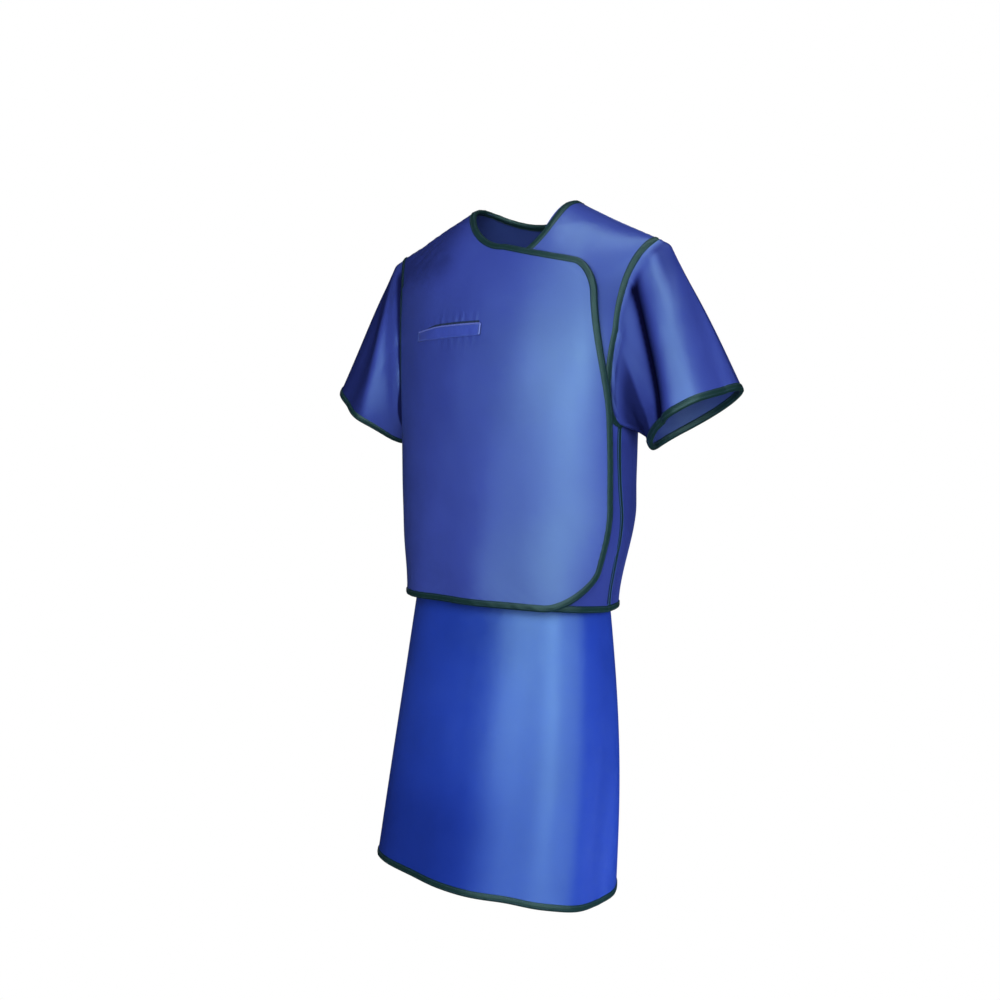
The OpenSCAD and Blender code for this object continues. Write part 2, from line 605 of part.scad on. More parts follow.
vest_back_cover();
vest_back_core();
vest_back_lining();
right_front_cover();
right_front_core();
right_front_lining();
front_flap_cover();
front_flap_core();
front_flap_lining();
left_front_cover();
left_front_core();
left_front_lining();
left_sleeve_cover();
left_sleeve_core();
left_sleeve_lining();
right_sleeve_cover();
right_sleeve_core();
right_sleeve_lining();
vest_hem_tape();
neck_tape();
front_flap_tape();
left_front_tape();
left_armhole_tape();
right_armhole_tape();
left_cuff_tape();
right_cuff_tape();
left_side_tape();
right_side_tape();
pocket_welt();
pocket_bag();
flap_hook_strip();
front_loop_strip();
skirt_cover();
skirt_core();
skirt_lining();
skirt_corner_cover();
skirt_corner_core();
skirt_corner_lining();
skirt_waist_tape();
skirt_hem_tape();
skirt_edge_tape();
skirt_under_tape();
skirt_corner_tape();
skirt_hook_strip();
skirt_loop_strip();
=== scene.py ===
import math

import bpy
import numpy as np
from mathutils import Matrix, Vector
from mathutils.bvhtree import BVHTree


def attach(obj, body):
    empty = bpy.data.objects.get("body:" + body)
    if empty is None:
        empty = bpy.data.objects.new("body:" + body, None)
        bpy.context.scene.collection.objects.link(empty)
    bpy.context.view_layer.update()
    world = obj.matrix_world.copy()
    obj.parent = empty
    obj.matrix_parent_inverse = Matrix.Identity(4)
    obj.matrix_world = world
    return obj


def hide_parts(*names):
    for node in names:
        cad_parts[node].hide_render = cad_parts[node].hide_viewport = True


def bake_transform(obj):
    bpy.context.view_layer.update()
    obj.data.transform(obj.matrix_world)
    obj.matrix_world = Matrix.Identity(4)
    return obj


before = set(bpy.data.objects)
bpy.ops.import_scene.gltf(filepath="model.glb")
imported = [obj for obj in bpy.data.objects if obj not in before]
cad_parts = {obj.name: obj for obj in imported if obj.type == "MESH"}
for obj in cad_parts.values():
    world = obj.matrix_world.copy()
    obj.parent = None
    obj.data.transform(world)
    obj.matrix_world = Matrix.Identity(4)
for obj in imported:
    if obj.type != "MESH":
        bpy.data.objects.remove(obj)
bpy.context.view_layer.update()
print("stage: frame loaded")

# Sizes in millimetres as in the frame, but for hemRise, flapLean and topRadius, which follow the photo closer
vest = {
    "length": 598, "drop": 155, "tipHalf": 230, "fall": 67, "neckHalf": 84, "neckDrop": 71,
    "backNeckDrop": 22, "chest": 382, "hem": 336, "front": 113, "back": 114, "hemBack": 105,
    "hemLean": 14, "chestHeight": 155, "hemRise": 12, "sag": 2, "underarm": 278, "round": 2.3,
    "ridgeNeck": 35, "ridgeTip": 18, "frontRoll": 310, "backRoll": 140, "sideLean": 10,
    "armFront": 15.5, "armBack": 26, "armCap": 12, "foldX": 25, "tipX": 60, "flapReach": 0.963,
    "flapLean": 19, "topSlope": 0.18, "lowRadius": 65, "topRadius": 42, "tipDrop": 98,
    "flapArc": 190, "lapFrom": -195, "lapRamp": 115, "lapRoom": 58,
}
skirt = {
    "length": 566, "hip": 145, "width": (283, 308, 369), "front": (86, 91, 114), "back": (89, 94, 143),
    "lean": (2, 14, 76), "sway": (3.8, 3.8, 12), "rise": 18, "tilt": 4.5, "full": 10, "round": 2.15,
    "fold": 3, "folds": 6, "under": -40, "end": -460, "corner": 378, "cornerSpan": 45,
    "lapStart": -285, "lapTurn": 75, "wrapRoom": 1,
}
stack = {"lining": (0.0, 0.4), "core": (0.6, 2.2), "cover": (3.3, 3.8), "lap": 8.0}
outside = stack["cover"][1]
tipV = vest["length"] - vest["fall"]
armMid = (tipV + vest["underarm"]) / 2
armHalf = (tipV - vest["underarm"]) / 2


def mix(a, b, t):
    return a + (b - a) * t


def ease(t):
    c = np.clip(t, 0.0, 1.0)
    return c * c * (3 - 2 * c)


def unit(p):
    return p / np.maximum(np.linalg.norm(p, axis=-1, keepdims=True), 1e-12)


def bell(t, width):
    return np.exp(-((t / width) ** 2))


def wave(x, length, phase=0.0):
    return np.sin(2 * np.pi * x / length + phase)


def turned(phi, at):
    return (phi - at + 180) % 360 - 180


# The vest's body: x across, v up from the hem, a round the back in degrees
def vestHalf(v):
    low = mix(vest["hem"], vest["chest"], ease(v / vest["chestHeight"])) / 2
    up = np.clip((v - vest["chestHeight"]) / (tipV - vest["chestHeight"]), 0, 1) ** 2.5
    return np.where(v < vest["chestHeight"], low, mix(vest["chest"] / 2, vest["tipHalf"], up))


def vestLean(v):
    return -vest["hemLean"] * (1 - ease(v / vest["chestHeight"]))


def shoulderLine(p):
    return vest["length"] - vest["fall"] * p - vest["sag"] * np.sin(np.pi * p)


def shoulderV(x):
    return shoulderLine(np.clip((np.abs(x) - vest["neckHalf"]) / (vest["tipHalf"] - vest["neckHalf"]), 0, 1))


def softened(t, width):
    return (t + np.hypot(t, width)) / (1 + np.hypot(1, width))


# Share of the way from the neck to the tip, rounded off below the shoulder
def softNeck(x, v):
    deep = ease((shoulderV(x) - v) / 130)
    past = np.hypot(x, 30 * deep) - vest["neckHalf"]
    return softened(past / (vest["tipHalf"] - vest["neckHalf"]), 0.3 * deep)


def ridgeY(x, v):
    return mix(vest["ridgeNeck"], vest["ridgeTip"], softNeck(x, v))


def bow(c):
    return np.maximum(0, 1 - np.minimum(1, np.abs(c)) ** vest["round"]) ** (1 / vest["round"])


def rollOver(x, v, height):
    far = 1 - (shoulderLine(softNeck(x, v)) - v) / height
    return np.sqrt(1 - np.minimum(1, softened(far, 0.15)) ** 2)


def frontSurface(x, v):
    c = bow(x / vestHalf(v))
    y = mix(ridgeY(x, v), vestLean(v) - vest["front"] * c, rollOver(x, v, vest["frontRoll"]))
    z = v - vest["drop"] + vest["hemRise"] * c * (1 - ease(v / vest["chestHeight"]))
    return np.stack([x, y, z], -1)


def squared(a):
    s = np.sin(np.radians(a))
    return np.sign(s) * np.abs(s) ** (2 / vest["round"])


def backSurface(a, v):
    k = squared(a)
    x, c, past = vestHalf(v) * k, bow(k), np.abs(a) > 90
    deep = mix(vest["hemBack"], vest["back"], ease(v / vest["chestHeight"]))
    y = vestLean(v) + np.where(past, -vest["front"], deep) * c
    over = np.where(past, rollOver(x, v, vest["frontRoll"]), rollOver(x, v, vest["backRoll"]))
    rise = np.where(past, vest["hemRise"] * c * (1 - ease(v / vest["chestHeight"])), 0)
    return np.stack([x, mix(ridgeY(x, v), y, over), v - vest["drop"] + rise], -1)


def sideAngle(v):
    high = 1 - (v - vest["underarm"]) / (tipV - vest["underarm"])
    return 90 - vest["sideLean"] * np.where(v < vest["underarm"], ease(v / vest["underarm"]), high)


def armOpen(v):
    a = (v - armMid) / armHalf
    return np.where(v < vest["underarm"], 0, np.sqrt(np.maximum(0, 1 - a * a)))


def armCap(v):
    c = np.clip((v - armMid) / armHalf, 0, 1)
    return c * np.sqrt(1 - c ** 6)


def frontEdgeX(v, s=1.0):
    turn = sideAngle(v) - vest["armFront"] * armOpen(v) - vest["armCap"] * armCap(v) * s ** 4
    return vestHalf(v) * np.sin(np.radians(turn)) ** (2 / vest["round"])


def backEdgeAngle(v):
    return sideAngle(v) + vest["armBack"] * armOpen(v)


def rightNeckV(x):
    t = np.clip((x + vest["neckHalf"]) / (vest["foldX"] + vest["neckHalf"]), 0, 1)
    return vest["length"] - vest["neckDrop"] * np.sin(np.pi / 2 * t)


def leftNeckV(x):
    t = np.clip((x + vest["tipX"]) / (vest["neckHalf"] + vest["tipX"]), 0, 1)
    a = np.arccos(t ** (1 / 0.6))
    return vest["length"] - vest["tipDrop"] * np.sin(a) ** 0.8


# How far the right front lies off the left one under it
def lapOff(p):
    v = p[..., 2] + vest["drop"]
    top = vest["length"] - vest["tipDrop"] + vest["lapRoom"] / 2
    near = 1 - ease((p[..., 0] + vest["tipX"]) / vest["lapRoom"])
    return stack["lap"] * ease((p[..., 0] - vest["lapFrom"]) / vest["lapRamp"]) * (
        1 - ease((v - top) / vest["lapRoom"]) * near)


def cornerCut(d, r):
    return r - np.sqrt(np.maximum(0, r * r - np.maximum(0, r - d) ** 2))


def flapEdgeX(v):
    return vest["flapReach"] * np.minimum(vestHalf(v), vest["chest"] / 2) - vest["flapLean"] * ease(
        (v - vest["underarm"]) / (tipV - vest["underarm"]))


def flapLow(s):
    return cornerCut((1 - s) * vest["flapArc"], vest["lowRadius"])


def flapTop(s):
    return (vest["length"] - vest["neckDrop"] - vest["topSlope"] * s * (vest["chest"] / 2 - vest["foldX"])
            - cornerCut((1 - s) * vest["flapArc"], vest["topRadius"]))


# The skirt: phi round the body in degrees, d down from the waist
def skirtAt(a, d):
    low = mix(a[0], a[1], ease(d / skirt["hip"]))
    high = mix(a[1], a[2], (d - skirt["hip"]) / (skirt["length"] - skirt["hip"]))
    return np.where(d < skirt["hip"], low, high)


# Soft hanging folds of the skirt: angle round the body, depth in millimetres, width in degrees
skirtDrape = [(-42, 1.2, 12), (-14, -2.0, 12), (13, 1.5, 9), (29, -2.2, 9), (45, 2.2, 9), (66, 2.0, 9),
              (90, -2.6, 10), (104, 2.0, 9), (150, -2.4, 16), (196, 2.4, 18), (236, -2.2, 14), (272, 1.6, 13)]


def skirtSurface(phi, d):
    s, c = np.sin(np.radians(phi)), np.cos(np.radians(phi))
    half = skirtAt(skirt["width"], d) / 2
    deep = np.where(c > 0, skirtAt(skirt["front"], d), skirtAt(skirt["back"], d))
    low = np.clip((d - skirt["hip"]) / (skirt["length"] - skirt["hip"]), 0, 1)
    out = (stack["lap"] + skirt["wrapRoom"] * low) * ease((skirt["lapStart"] - phi) / skirt["lapTurn"])
    out = out + skirt["fold"] * low * np.cos(np.radians(skirt["folds"] * phi))
    out = out + skirt["full"] * np.sin(np.pi * low) * np.maximum(0, s)
    for at, deepness, width in skirtDrape:
        sway = at + 3 * np.sin(low * 2.6 + 1)
        out = out + deepness * (0.4 + 0.6 * low ** 0.8) * ease(d / 120) * bell(turned(phi, sway), width)
    out = out + 0.5 * low * np.sin(np.radians(phi * 9 + 40)) * np.sin(d / 61 + np.radians(phi) * 2)
    lift = low * (skirt["rise"] * np.maximum(0, c) - skirt["tilt"] * s)
    power = 2 / skirt["round"]
    x = half * np.sign(s) * np.abs(s) ** power + out * s + skirtAt(skirt["sway"], d)
    y = -deep * np.sign(c) * np.abs(c) ** power - out * c - skirtAt(skirt["lean"], d)
    return np.stack([x, y, lift - d], -1)


def skirtNormals(phi, d):
    up = skirtSurface(phi, d - 0.5) - skirtSurface(phi, d + 0.5)
    across = skirtSurface(phi + 0.5, d) - skirtSurface(phi - 0.5, d)
    return unit(np.cross(across, up))


def ringNormals(g):
    up = np.empty_like(g)
    up[1:-1], up[0], up[-1] = g[2:] - g[:-2], g[1] - g[0], g[-1] - g[-2]
    return unit(np.cross(np.roll(g, -1, 1) - np.roll(g, 1, 1), up))


# Depths of the soft folds of the front and the back, in millimetres
frontFolds = {"swell": 0.9, "ripple": 0.5, "hem": 1.5, "pull": 3.0, "waist": 1.0, "calmFrom": 430,
              "calmOver": 110}
backFolds = {"swell": 1.6, "ripple": 0.8, "blade": 1.6, "waist": 1.8}


def hanging(v, least):
    return mix(1, least, np.clip(v / 520, 0, 1))


# Drape of the whole front, so that the layers that lie on each other stay parallel
def frontDrape(x, v):
    f = frontFolds
    soft = f["swell"] * wave(x + 0.10 * v, 148, 0.9) + f["ripple"] * wave(x - 0.22 * v, 93, 2.1)
    low = f["hem"] * bell(v - 18, 42) * wave(x, 116, 0.4)
    pull = f["pull"] * bell((x - 156) + 0.2 * (v - 420), 26) * bell(v - 380, 120)
    waist = -f["waist"] * bell(v - 150 - 0.1 * x, 34) * bell(np.abs(x) - 150, 60)
    return (soft * hanging(v, 0.35) + low + pull + waist) * (1 - ease((v - f["calmFrom"]) / f["calmOver"]))


def shortFolds(x, v, seed, count, box, depth, length, width):
    rng = np.random.default_rng(seed)
    total = np.zeros_like(x)
    for _ in range(count):
        cx, cv = rng.uniform(box[0], box[1]), rng.uniform(box[2], box[3])
        turn = rng.normal(0.35, 0.35)
        a = (x - cx) * math.cos(turn) + (v - cv) * math.sin(turn)
        b = -(x - cx) * math.sin(turn) + (v - cv) * math.cos(turn)
        total = total + depth * rng.uniform(0.5, 1.0) * rng.choice([-1, 1]) * bell(
            a, length * rng.uniform(0.7, 1.3)) * bell(b, width * rng.uniform(0.7, 1.3))
    return total


# Puckers that a seam draws into the cloth beside it
def pucker(far, along, reach, length, depth):
    drift = 0.35 * np.sin(along / 31.0) + 0.25 * np.sin(along / 11.7 + 1.3)
    ripple = np.sin(2 * np.pi * along / length + 3 * drift)
    return depth * np.exp(-far / reach) * ripple * (0.65 + 0.6 * drift)


def frontNormals(shape, x, v):
    turn = np.where(x < 0, -1.0, 1.0)
    across = (shape(x, v) - shape(x - turn * 0.8, v)) * turn[..., None]
    return unit(np.cross(across, shape(x, v) - shape(x, v - 0.8)))


def backNormals(shape, a, v):
    return unit(np.cross(shape(a - 0.4, v) - shape(a + 0.4, v), shape(a, v) - shape(a, v - 0.8)))


# The spine is the column that the weave is laid out from
def panelOf(points, normals, ring=False, shade=None, spine=0):
    return {"points": points, "normals": normals, "ring": ring, "shade": shade, "spine": spine}


cells = {"low": 74, "arm": 92, "neck": 38, "rightSide": 46, "flap": 78, "leftTip": 26, "leftNeck": 30,
         "leftSide": 50, "backSide": 34, "backNeck": 46, "sleeveRound": 180, "sleeveRun": 84,
         "skirtRound": 330, "cornerRows": 118, "skirtTop": 62, "corner": 40}
rowsLow = np.linspace(0, vest["underarm"] / tipV, cells["low"])
rowsHigh = (armMid - armHalf * np.cos(np.linspace(0, np.pi, cells["arm"]))[1:]) / tipV
rows = np.concatenate([rowsLow, rowsHigh])
rowUnder, rowLast = len(rowsLow) - 1, len(rows) - 1


def quarter(count):
    return np.sin(np.linspace(0, np.pi / 2, count))[1:]


# Right front and its flap: one sheet, from the right armhole over the fold to the free edge
neckShare = (vest["foldX"] + vest["neckHalf"]) / (vest["foldX"] + vest["tipHalf"])
rightShares = np.concatenate([np.linspace(0, neckShare, cells["neck"]),
                              mix(neckShare, 1, quarter(cells["rightSide"]))])[::-1]
wrapNeck = cells["rightSide"] - 1
flapShares = (1 - (1 - np.linspace(0, 1, cells["flap"])) ** 1.75)[1:]
t, s = np.meshgrid(rows, rightShares, indexing="ij")
topX = mix(vest["foldX"], -vest["tipHalf"], s)
top = np.where(topX > -vest["neckHalf"], rightNeckV(topX), shoulderV(topX))
rightX, rightV = mix(vest["foldX"], -frontEdgeX(t * tipV, s), s), t * top
rightFar = np.minimum(top - rightV, rightV)
t, s = np.meshgrid(rows, flapShares, indexing="ij")
flapV = mix(flapLow(s), flapTop(s), t)
flapX = mix(vest["foldX"], flapEdgeX(flapV), s)
flapFar = np.minimum((1 - s) * 165, np.minimum(flapTop(s) - flapV, flapV - flapLow(s)))
wrapX, wrapV = np.hstack([rightX, flapX]), np.hstack([rightV, flapV])
wrapFar = np.hstack([rightFar, flapFar])

# Pocket welt: its ends, lower edge at the right end, height, rise of the edge and arch
welt = {"left": -111.0, "right": 12.0, "low": 399.3, "height": 17.0, "rise": 5.8, "arch": 0.8, "taper": 0.8}


def weltLow(x):
    return welt["low"] - welt["rise"] * (welt["right"] - x) / (welt["right"] - welt["left"])


def weltTall(x):
    u = np.clip((x - welt["left"]) / (welt["right"] - welt["left"]), 0, 1)
    return welt["height"] * mix(welt["taper"], 1.0, ease(u / 0.4)) + welt["arch"] * np.sin(np.pi * u)


# Small pulls in the cloth above and below the pocket
def weltTicks(x, v):
    over = v - weltLow(x) - weltTall(x)
    inside = ease((x - welt["left"]) / 10) * ease((welt["right"] - x) / 10)
    above = 0.9 * bell(over - 7, 6) * wave(x, 12.5, 0.4) * (0.6 + 0.4 * wave(x, 37))
    return inside * (above + 0.25 * bell(over + welt["height"] + 6, 7) * wave(x, 13, 1.4))


def wrapShape(x, v):
    base = frontSurface(x, v)
    move = frontDrape(x, v) + shortFolds(x, v, 5, 34, (-205, -80, 480, 575), 1.5, 14, 3.4)
    return base + frontNormals(frontSurface, x, v) * (lapOff(base) + move)[..., None]


wrapUp = frontNormals(wrapShape, wrapX, wrapV)
wrapMove = weltTicks(wrapX, wrapV) + pucker(wrapFar, wrapX * 0.7 + wrapV, 13, 15.5, 0.42)
# Painted shade on the right front's upper part, towards the shoulder and armhole
wrapShade = 0.66 * ease((wrapV - 440) / 70) * ease((-20 - wrapX) / 70)
wrap = panelOf(wrapShape(wrapX, wrapV) + wrapUp * wrapMove[..., None], wrapUp, shade=wrapShade,
               spine=len(rightShares) - 1)
print("stage: wrap front", wrap["points"].shape)

# Left front, which lies under the flap
leftShare = (vest["tipX"] + vest["neckHalf"]) / (vest["tipX"] + vest["tipHalf"])
neckTurn = np.cos(np.linspace(np.radians(56), 0, cells["leftNeck"])) ** 0.6
leftShares = np.concatenate([np.linspace(0, neckTurn[0], cells["leftTip"])[:-1] * leftShare,
                             neckTurn * leftShare, mix(leftShare, 1, quarter(cells["leftSide"]))])
leftNeck = cells["leftTip"] + cells["leftNeck"] - 2
t, s = np.meshgrid(rows, leftShares, indexing="ij")
topX = mix(-vest["tipX"], vest["tipHalf"], s)
top = np.where(topX < vest["neckHalf"], leftNeckV(topX), shoulderV(topX))
leftX, leftV = mix(-vest["tipX"], frontEdgeX(t * tipV, s), s), t * top
leftFar = np.minimum(top - leftV + 60 * ease((topX - vest["neckHalf"]) / 20), leftV)


def leftShape(x, v):
    move = frontDrape(x, v) + shortFolds(x, v, 8, 16, (90, 205, 440, 560), 0.45, 19, 4.5)
    return frontSurface(x, v) + frontNormals(frontSurface, x, v) * move[..., None]


leftUp = frontNormals(leftShape, leftX, leftV)
leftMove = pucker(leftFar, leftX + leftV * 0.4, 12, 15, 0.3)
# Painted shade on the left front: high on the chest towards the armhole, and over its lower part
leftShade = 0.46 * bell(leftV - 450, 70) * ease((leftX - 130) / 20) + 0.5 * ease((300 - leftV) / 60)
leftFront = panelOf(leftShape(leftX, leftV) + leftUp * leftMove[..., None], leftUp, shade=leftShade)

# Back, from the wearer's left side to the right
neckAngle = math.degrees(math.asin((vest["neckHalf"] / vest["tipHalf"]) ** (vest["round"] / 2)))
backAngles = np.concatenate([np.linspace(90, neckAngle, cells["backSide"]),
                             np.linspace(neckAngle, -neckAngle, cells["backNeck"])[1:],
                             np.linspace(-neckAngle, -90, cells["backSide"])[1:]])
backNeck = (cells["backSide"] - 1, cells["backSide"] + cells["backNeck"] - 2)
t, a = np.meshgrid(rows, backAngles, indexing="ij")
atTop = vest["tipHalf"] * squared(a)
neckTop = vest["length"] - vest["backNeckDrop"] * (1 - (atTop / vest["neckHalf"]) ** 2)
top = np.where(np.abs(atTop) < vest["neckHalf"], neckTop, shoulderV(atTop))
backTurn, backV = a * (180 - backEdgeAngle(t * tipV)) / 90, t * top


def backShape(a, v):
    base, f = backSurface(a, v), backFolds
    x = base[..., 0]
    move = f["swell"] * wave(x + 0.15 * v, 122, 0.3) + f["ripple"] * wave(x - 0.2 * v, 71, 1.0)
    move = move * hanging(v, 0.25)
    move = move + f["blade"] * bell(v - 205 - 0.16 * np.abs(x), 24) * bell(np.abs(x) - 95, 60)
    move = move - f["waist"] * bell(v - 165 - 0.1 * np.abs(x), 20) * bell(np.abs(x) - 110, 55)
    move = move + shortFolds(x, v, 21, 30, (-180, 180, 60, 540), 0.6, 34, 6)
    move = move * ease((88 - np.abs(a)) / 14) * (1 - ease((v - 500) / 80))
    return base + backNormals(backSurface, a, v) * move[..., None]


backUp = backNormals(backShape, backTurn, backV)
backMove = pucker(np.minimum(top - backV, backV), backShape(backTurn, backV)[..., 0], 12, 15, 0.3)
# Painted shade on the back's left side, below the armhole
backShade = 0.62 * ease((backTurn - 62) / 24) * ease((300 - backV) / 60)
back = panelOf(backShape(backTurn, backV) + backUp * backMove[..., None], backUp, shade=backShade,
               spine=len(backAngles) // 2)

# Sleeves: rings from the armhole to the cuff, each with its own pressed folds
sleeve = {"out": 123, "fall": 209, "width": 154, "tilt": 30, "halfDepth": 63, "crease": 7, "bulge": 7,
          "cap": 8, "longer": 15, "seamTop": 1.6, "seamLow": 4.0, "sunk": 1.5}
sleeveTurn = np.linspace(0, 360, cells["sleeveRound"] + 1)[:-1]
sleeveRun = np.linspace(0, 1, cells["sleeveRun"])


def sleevePanel(side, folds, shades):
    t, a = np.meshgrid(sleeveRun, sleeveTurn, indexing="ij")
    c, s = np.cos(np.radians(a)), np.sin(np.radians(a))
    armV = armMid + armHalf * c
    arm = np.where((a <= 180)[..., None], frontSurface(frontEdgeX(armV), armV),
                   backSurface(180 - backEdgeAngle(armV), armV))
    arm[..., 0] += mix(sleeve["seamTop"], sleeve["seamLow"], (1 - c) / 2)
    tilt = math.radians(sleeve["tilt"])
    axis = np.array([math.cos(tilt), 0, math.sin(tilt)])
    cuffTop = np.array([vest["tipHalf"] + sleeve["out"], vest["ridgeTip"],
                        tipV - sleeve["fall"] - vest["drop"]])
    cuff = cuffTop - axis * (sleeve["width"] / 2 * (1 - c))[..., None]
    cuff[..., 1] -= sleeve["halfDepth"] * s
    cuff = cuff + unit(cuff - arm) * (sleeve["longer"] * bell(turned(a, 164), 42))[..., None]
    grid = mix(arm, cuff, t[..., None])
    grid[..., 1] -= sleeve["crease"] * bell(a - 96, 22) * t
    crown = np.maximum(0, c)
    grid[..., 2] += sleeve["bulge"] * np.sin(np.pi * t) * crown
    grid = grid + np.array([0.87, 0, 0.5]) * (sleeve["cap"] * (1 - t) * ease(t / 0.08) * crown)[..., None]
    soft = 0.9 * np.sin(np.pi * t) * np.sin(np.radians(3 * a + 130 * t + 40))
    soft = soft + 1.8 * bell(turned(a, 262 + 14 * t), 15) * t
    soft = soft - 2.0 * bell(turned(a, 228), 12) * np.sin(np.pi * t)
    soft = soft + 0.5 * bell(t - 0.06, 0.05) * np.sin(np.radians(15 * a))
    sunk = -sleeve["sunk"] * bell(t - 0.06, 0.05) * bell(a - 110, 34)
    grid = grid + ringNormals(grid) * (soft + (folds(a, t) + sunk) * ease(t / 0.1))[..., None]
    normals = ringNormals(grid)
    shade = np.clip(shades(a, t), 0, 1)
    if side < 0:
        grid, normals, shade = (grid * (-1, 1, 1))[:, ::-1], (normals * (-1, 1, 1))[:, ::-1], shade[:, ::-1]
    return panelOf(grid, normals, True, shade)


# Pressed pleats of the left sleeve, the near one, and of the right: places in degrees round from the top,
# depths in millimetres, and how much painted shade each part of the sleeve takes
nearPleat = {"valley": 53, "swing": 41, "cuffSwing": 5, "crest": 37, "crestSwing": 25, "turnIn": 20,
             "roll": 10, "sink": 7, "under": 6, "ridge": 4, "dip": 4.5}
farPleat = {"reach": 104, "spread": 0.33, "ridge": 5.0, "ahead": 2.5, "behind": 3.0}
nearPaintedShade = {"facet": 0.45, "under": 0.4, "crown": 0.6}
farPaintedShade = {"lit": 0.22, "away": 0.8, "low": 0.4, "seam": 0.92}


def nearValley(t):
    return nearPleat["valley"] + nearPleat["swing"] * t ** 0.9 + nearPleat["cuffSwing"] * t ** 4


def nearFolds(a, t):
    valley, crest = nearValley(t), nearPleat["crest"] + nearPleat["crestSwing"] * t
    roll, sink, turnIn = nearPleat["roll"], nearPleat["sink"], nearPleat["turnIn"]
    grow, slow, shut = ease((t - 0.01) / 0.2), ease(t / 0.5), 1 - 0.75 * ease((t - 0.7) / 0.3)
    into = np.clip(1 - (valley - a) / turnIn, 0, 1)
    bent = np.sqrt(1 - 0.99 * into * into)
    flank = roll * slow * (1 - ease((valley - turnIn - a) / 60))
    lip = np.where(into > 0, roll * slow * bent - sink * grow * (1 - bent), flank)
    under = ease(t / 0.7) * ease((a - valley - mix(35, 42, t)) / 30)
    depth = sink * mix(grow, slow, ease((a - valley) / 30)) + nearPleat["under"] * under
    hollow = -depth * shut * (1 - ease((a - 158) / 55))
    fold = np.where(a > valley, hollow, mix(lip, -sink * grow * shut, into ** 8))
    ridge = nearPleat["ridge"] * bell(a - crest, 12) * t
    return fold + ridge - nearPleat["dip"] * bell(turned(a, crest - 36), 18) * ease(t / 0.4)


def farCrest(t):
    return farPleat["reach"] * (1 - np.exp(-t / farPleat["spread"]))


def farFolds(a, t):
    past = a - farCrest(t)
    beside = farPleat["ahead"] * bell(past - 36, 18) + farPleat["behind"] * bell(past + 28, 14)
    return ease((t - 0.12) / 0.3) * (farPleat["ridge"] * bell(past, 12) - beside)


# Painted shade of the sleeves: in the near pleat's groove, on its facets and underside and on the sleeve's
# top, and on the far sleeve's side turned from the light and along its seam
def nearShade(a, t):
    valley, edge, high = nearValley(t), 94 + 28 * t ** 1.1, turned(a, 0)
    core = bell(a - valley, np.where(a < valley, 11, 8)) * ease(t / 0.07)
    facet = nearPaintedShade["facet"] * ease((a - valley) / 5)
    under = nearPaintedShade["under"] * ease((a - edge + 3) / 6) * ease((t - 0.05) / 0.3) * (1 - ease((a - 240) / 50))
    crown = nearPaintedShade["crown"] * ease((33 + 25 * t - high) / 12) * ease((high + 80) / 40)
    crown = crown * (1 - 0.75 * ease((t - 0.1) / 0.4))
    return (core + facet + under + crown) * ease(t / 0.05)


def farShade(a, t):
    away = ease((farCrest(t) + 9 * t * t - a + 4) / 12)
    # A painted shadow along the seam, where the far sleeve meets the vest
    seam = 1 - ease((t - 0.03 - 0.012 * np.maximum(0, a - 122)) / 0.06)
    seam = seam * ease((a - 20) / 20) * ease((185 - a) / 20)
    body = mix(farPaintedShade["lit"], farPaintedShade["away"], away) + farPaintedShade["low"] * bell(a - 168, 14) * ease(t / 0.3)
    return mix(body, farPaintedShade["seam"], seam)


leftSleeve = sleevePanel(1, nearFolds, nearShade)
rightSleeve = sleevePanel(-1, farFolds, farShade)

# Skirt: one long panel that laps over itself, and its loose corner
cornerFrom = skirt["length"] - skirt["corner"]


def cornerPhi(d):
    return skirt["end"] + skirt["cornerSpan"] * np.clip((d - cornerFrom) / skirt["corner"], 0, 1)


depths = np.concatenate([np.linspace(skirt["length"], cornerFrom, cells["cornerRows"]),
                         np.linspace(cornerFrom, 0, cells["skirtTop"])[1:]])
depthCorner = cells["cornerRows"] - 1
d, s = np.meshgrid(depths, np.linspace(0, 1, cells["skirtRound"]), indexing="ij")
skirtPhi = skirt["end"] + (skirt["under"] - skirt["end"]) * s + (cornerPhi(d) - skirt["end"]) * (1 - s) ** 8
facingPhi = turned(skirtPhi, 0)
# Painted shade on the skirt's lower part, left of the front
skirtShade = 0.56 * ease((42 - facingPhi) / 46) * ease((facingPhi + 110) / 30) * ease((d - 330) / 150)
skirtPanel = panelOf(skirtSurface(skirtPhi, d), skirtNormals(skirtPhi, d), shade=skirtShade)
d, s = np.meshgrid(depths[:depthCorner + 1], np.linspace(0, 1, cells["corner"]), indexing="ij")
phi = mix(skirt["end"], cornerPhi(d), s)
skirtCorner = panelOf(skirtSurface(phi, d), skirtNormals(phi, d))
print("stage: panels shaped")


def buildMesh(name, points, quads, material, uv=None, sharp=38, shade=None):
    mesh = bpy.data.meshes.new(name)
    mesh.vertices.add(len(points))
    mesh.vertices.foreach_set("co", (points * 0.001).astype(np.float32).ravel())
    mesh.loops.add(quads.size)
    mesh.loops.foreach_set("vertex_index", quads.astype(np.int32).ravel())
    mesh.polygons.add(len(quads))
    mesh.polygons.foreach_set("loop_start", np.arange(0, quads.size, 4, dtype=np.int32))
    mesh.update(calc_edges=True)
    mesh.polygons.foreach_set("use_smooth", np.ones(len(quads), bool))
    if uv is not None:
        layer = mesh.uv_layers.new(name="cut")
        layer.data.foreach_set("uv", uv[quads.ravel()].astype(np.float32).ravel())
    # The shade attribute holds painted shade, which the shaded cloths read
    if shade is not None:
        layer = mesh.attributes.new("shade", "FLOAT", "POINT")
        layer.data.foreach_set("value", shade.astype(np.float32).ravel())
    mesh.set_sharp_from_angle(angle=math.radians(sharp))
    obj = bpy.data.objects.new(name, mesh)
    bpy.context.scene.collection.objects.link(obj)
    obj.data.materials.append(material)
    return obj


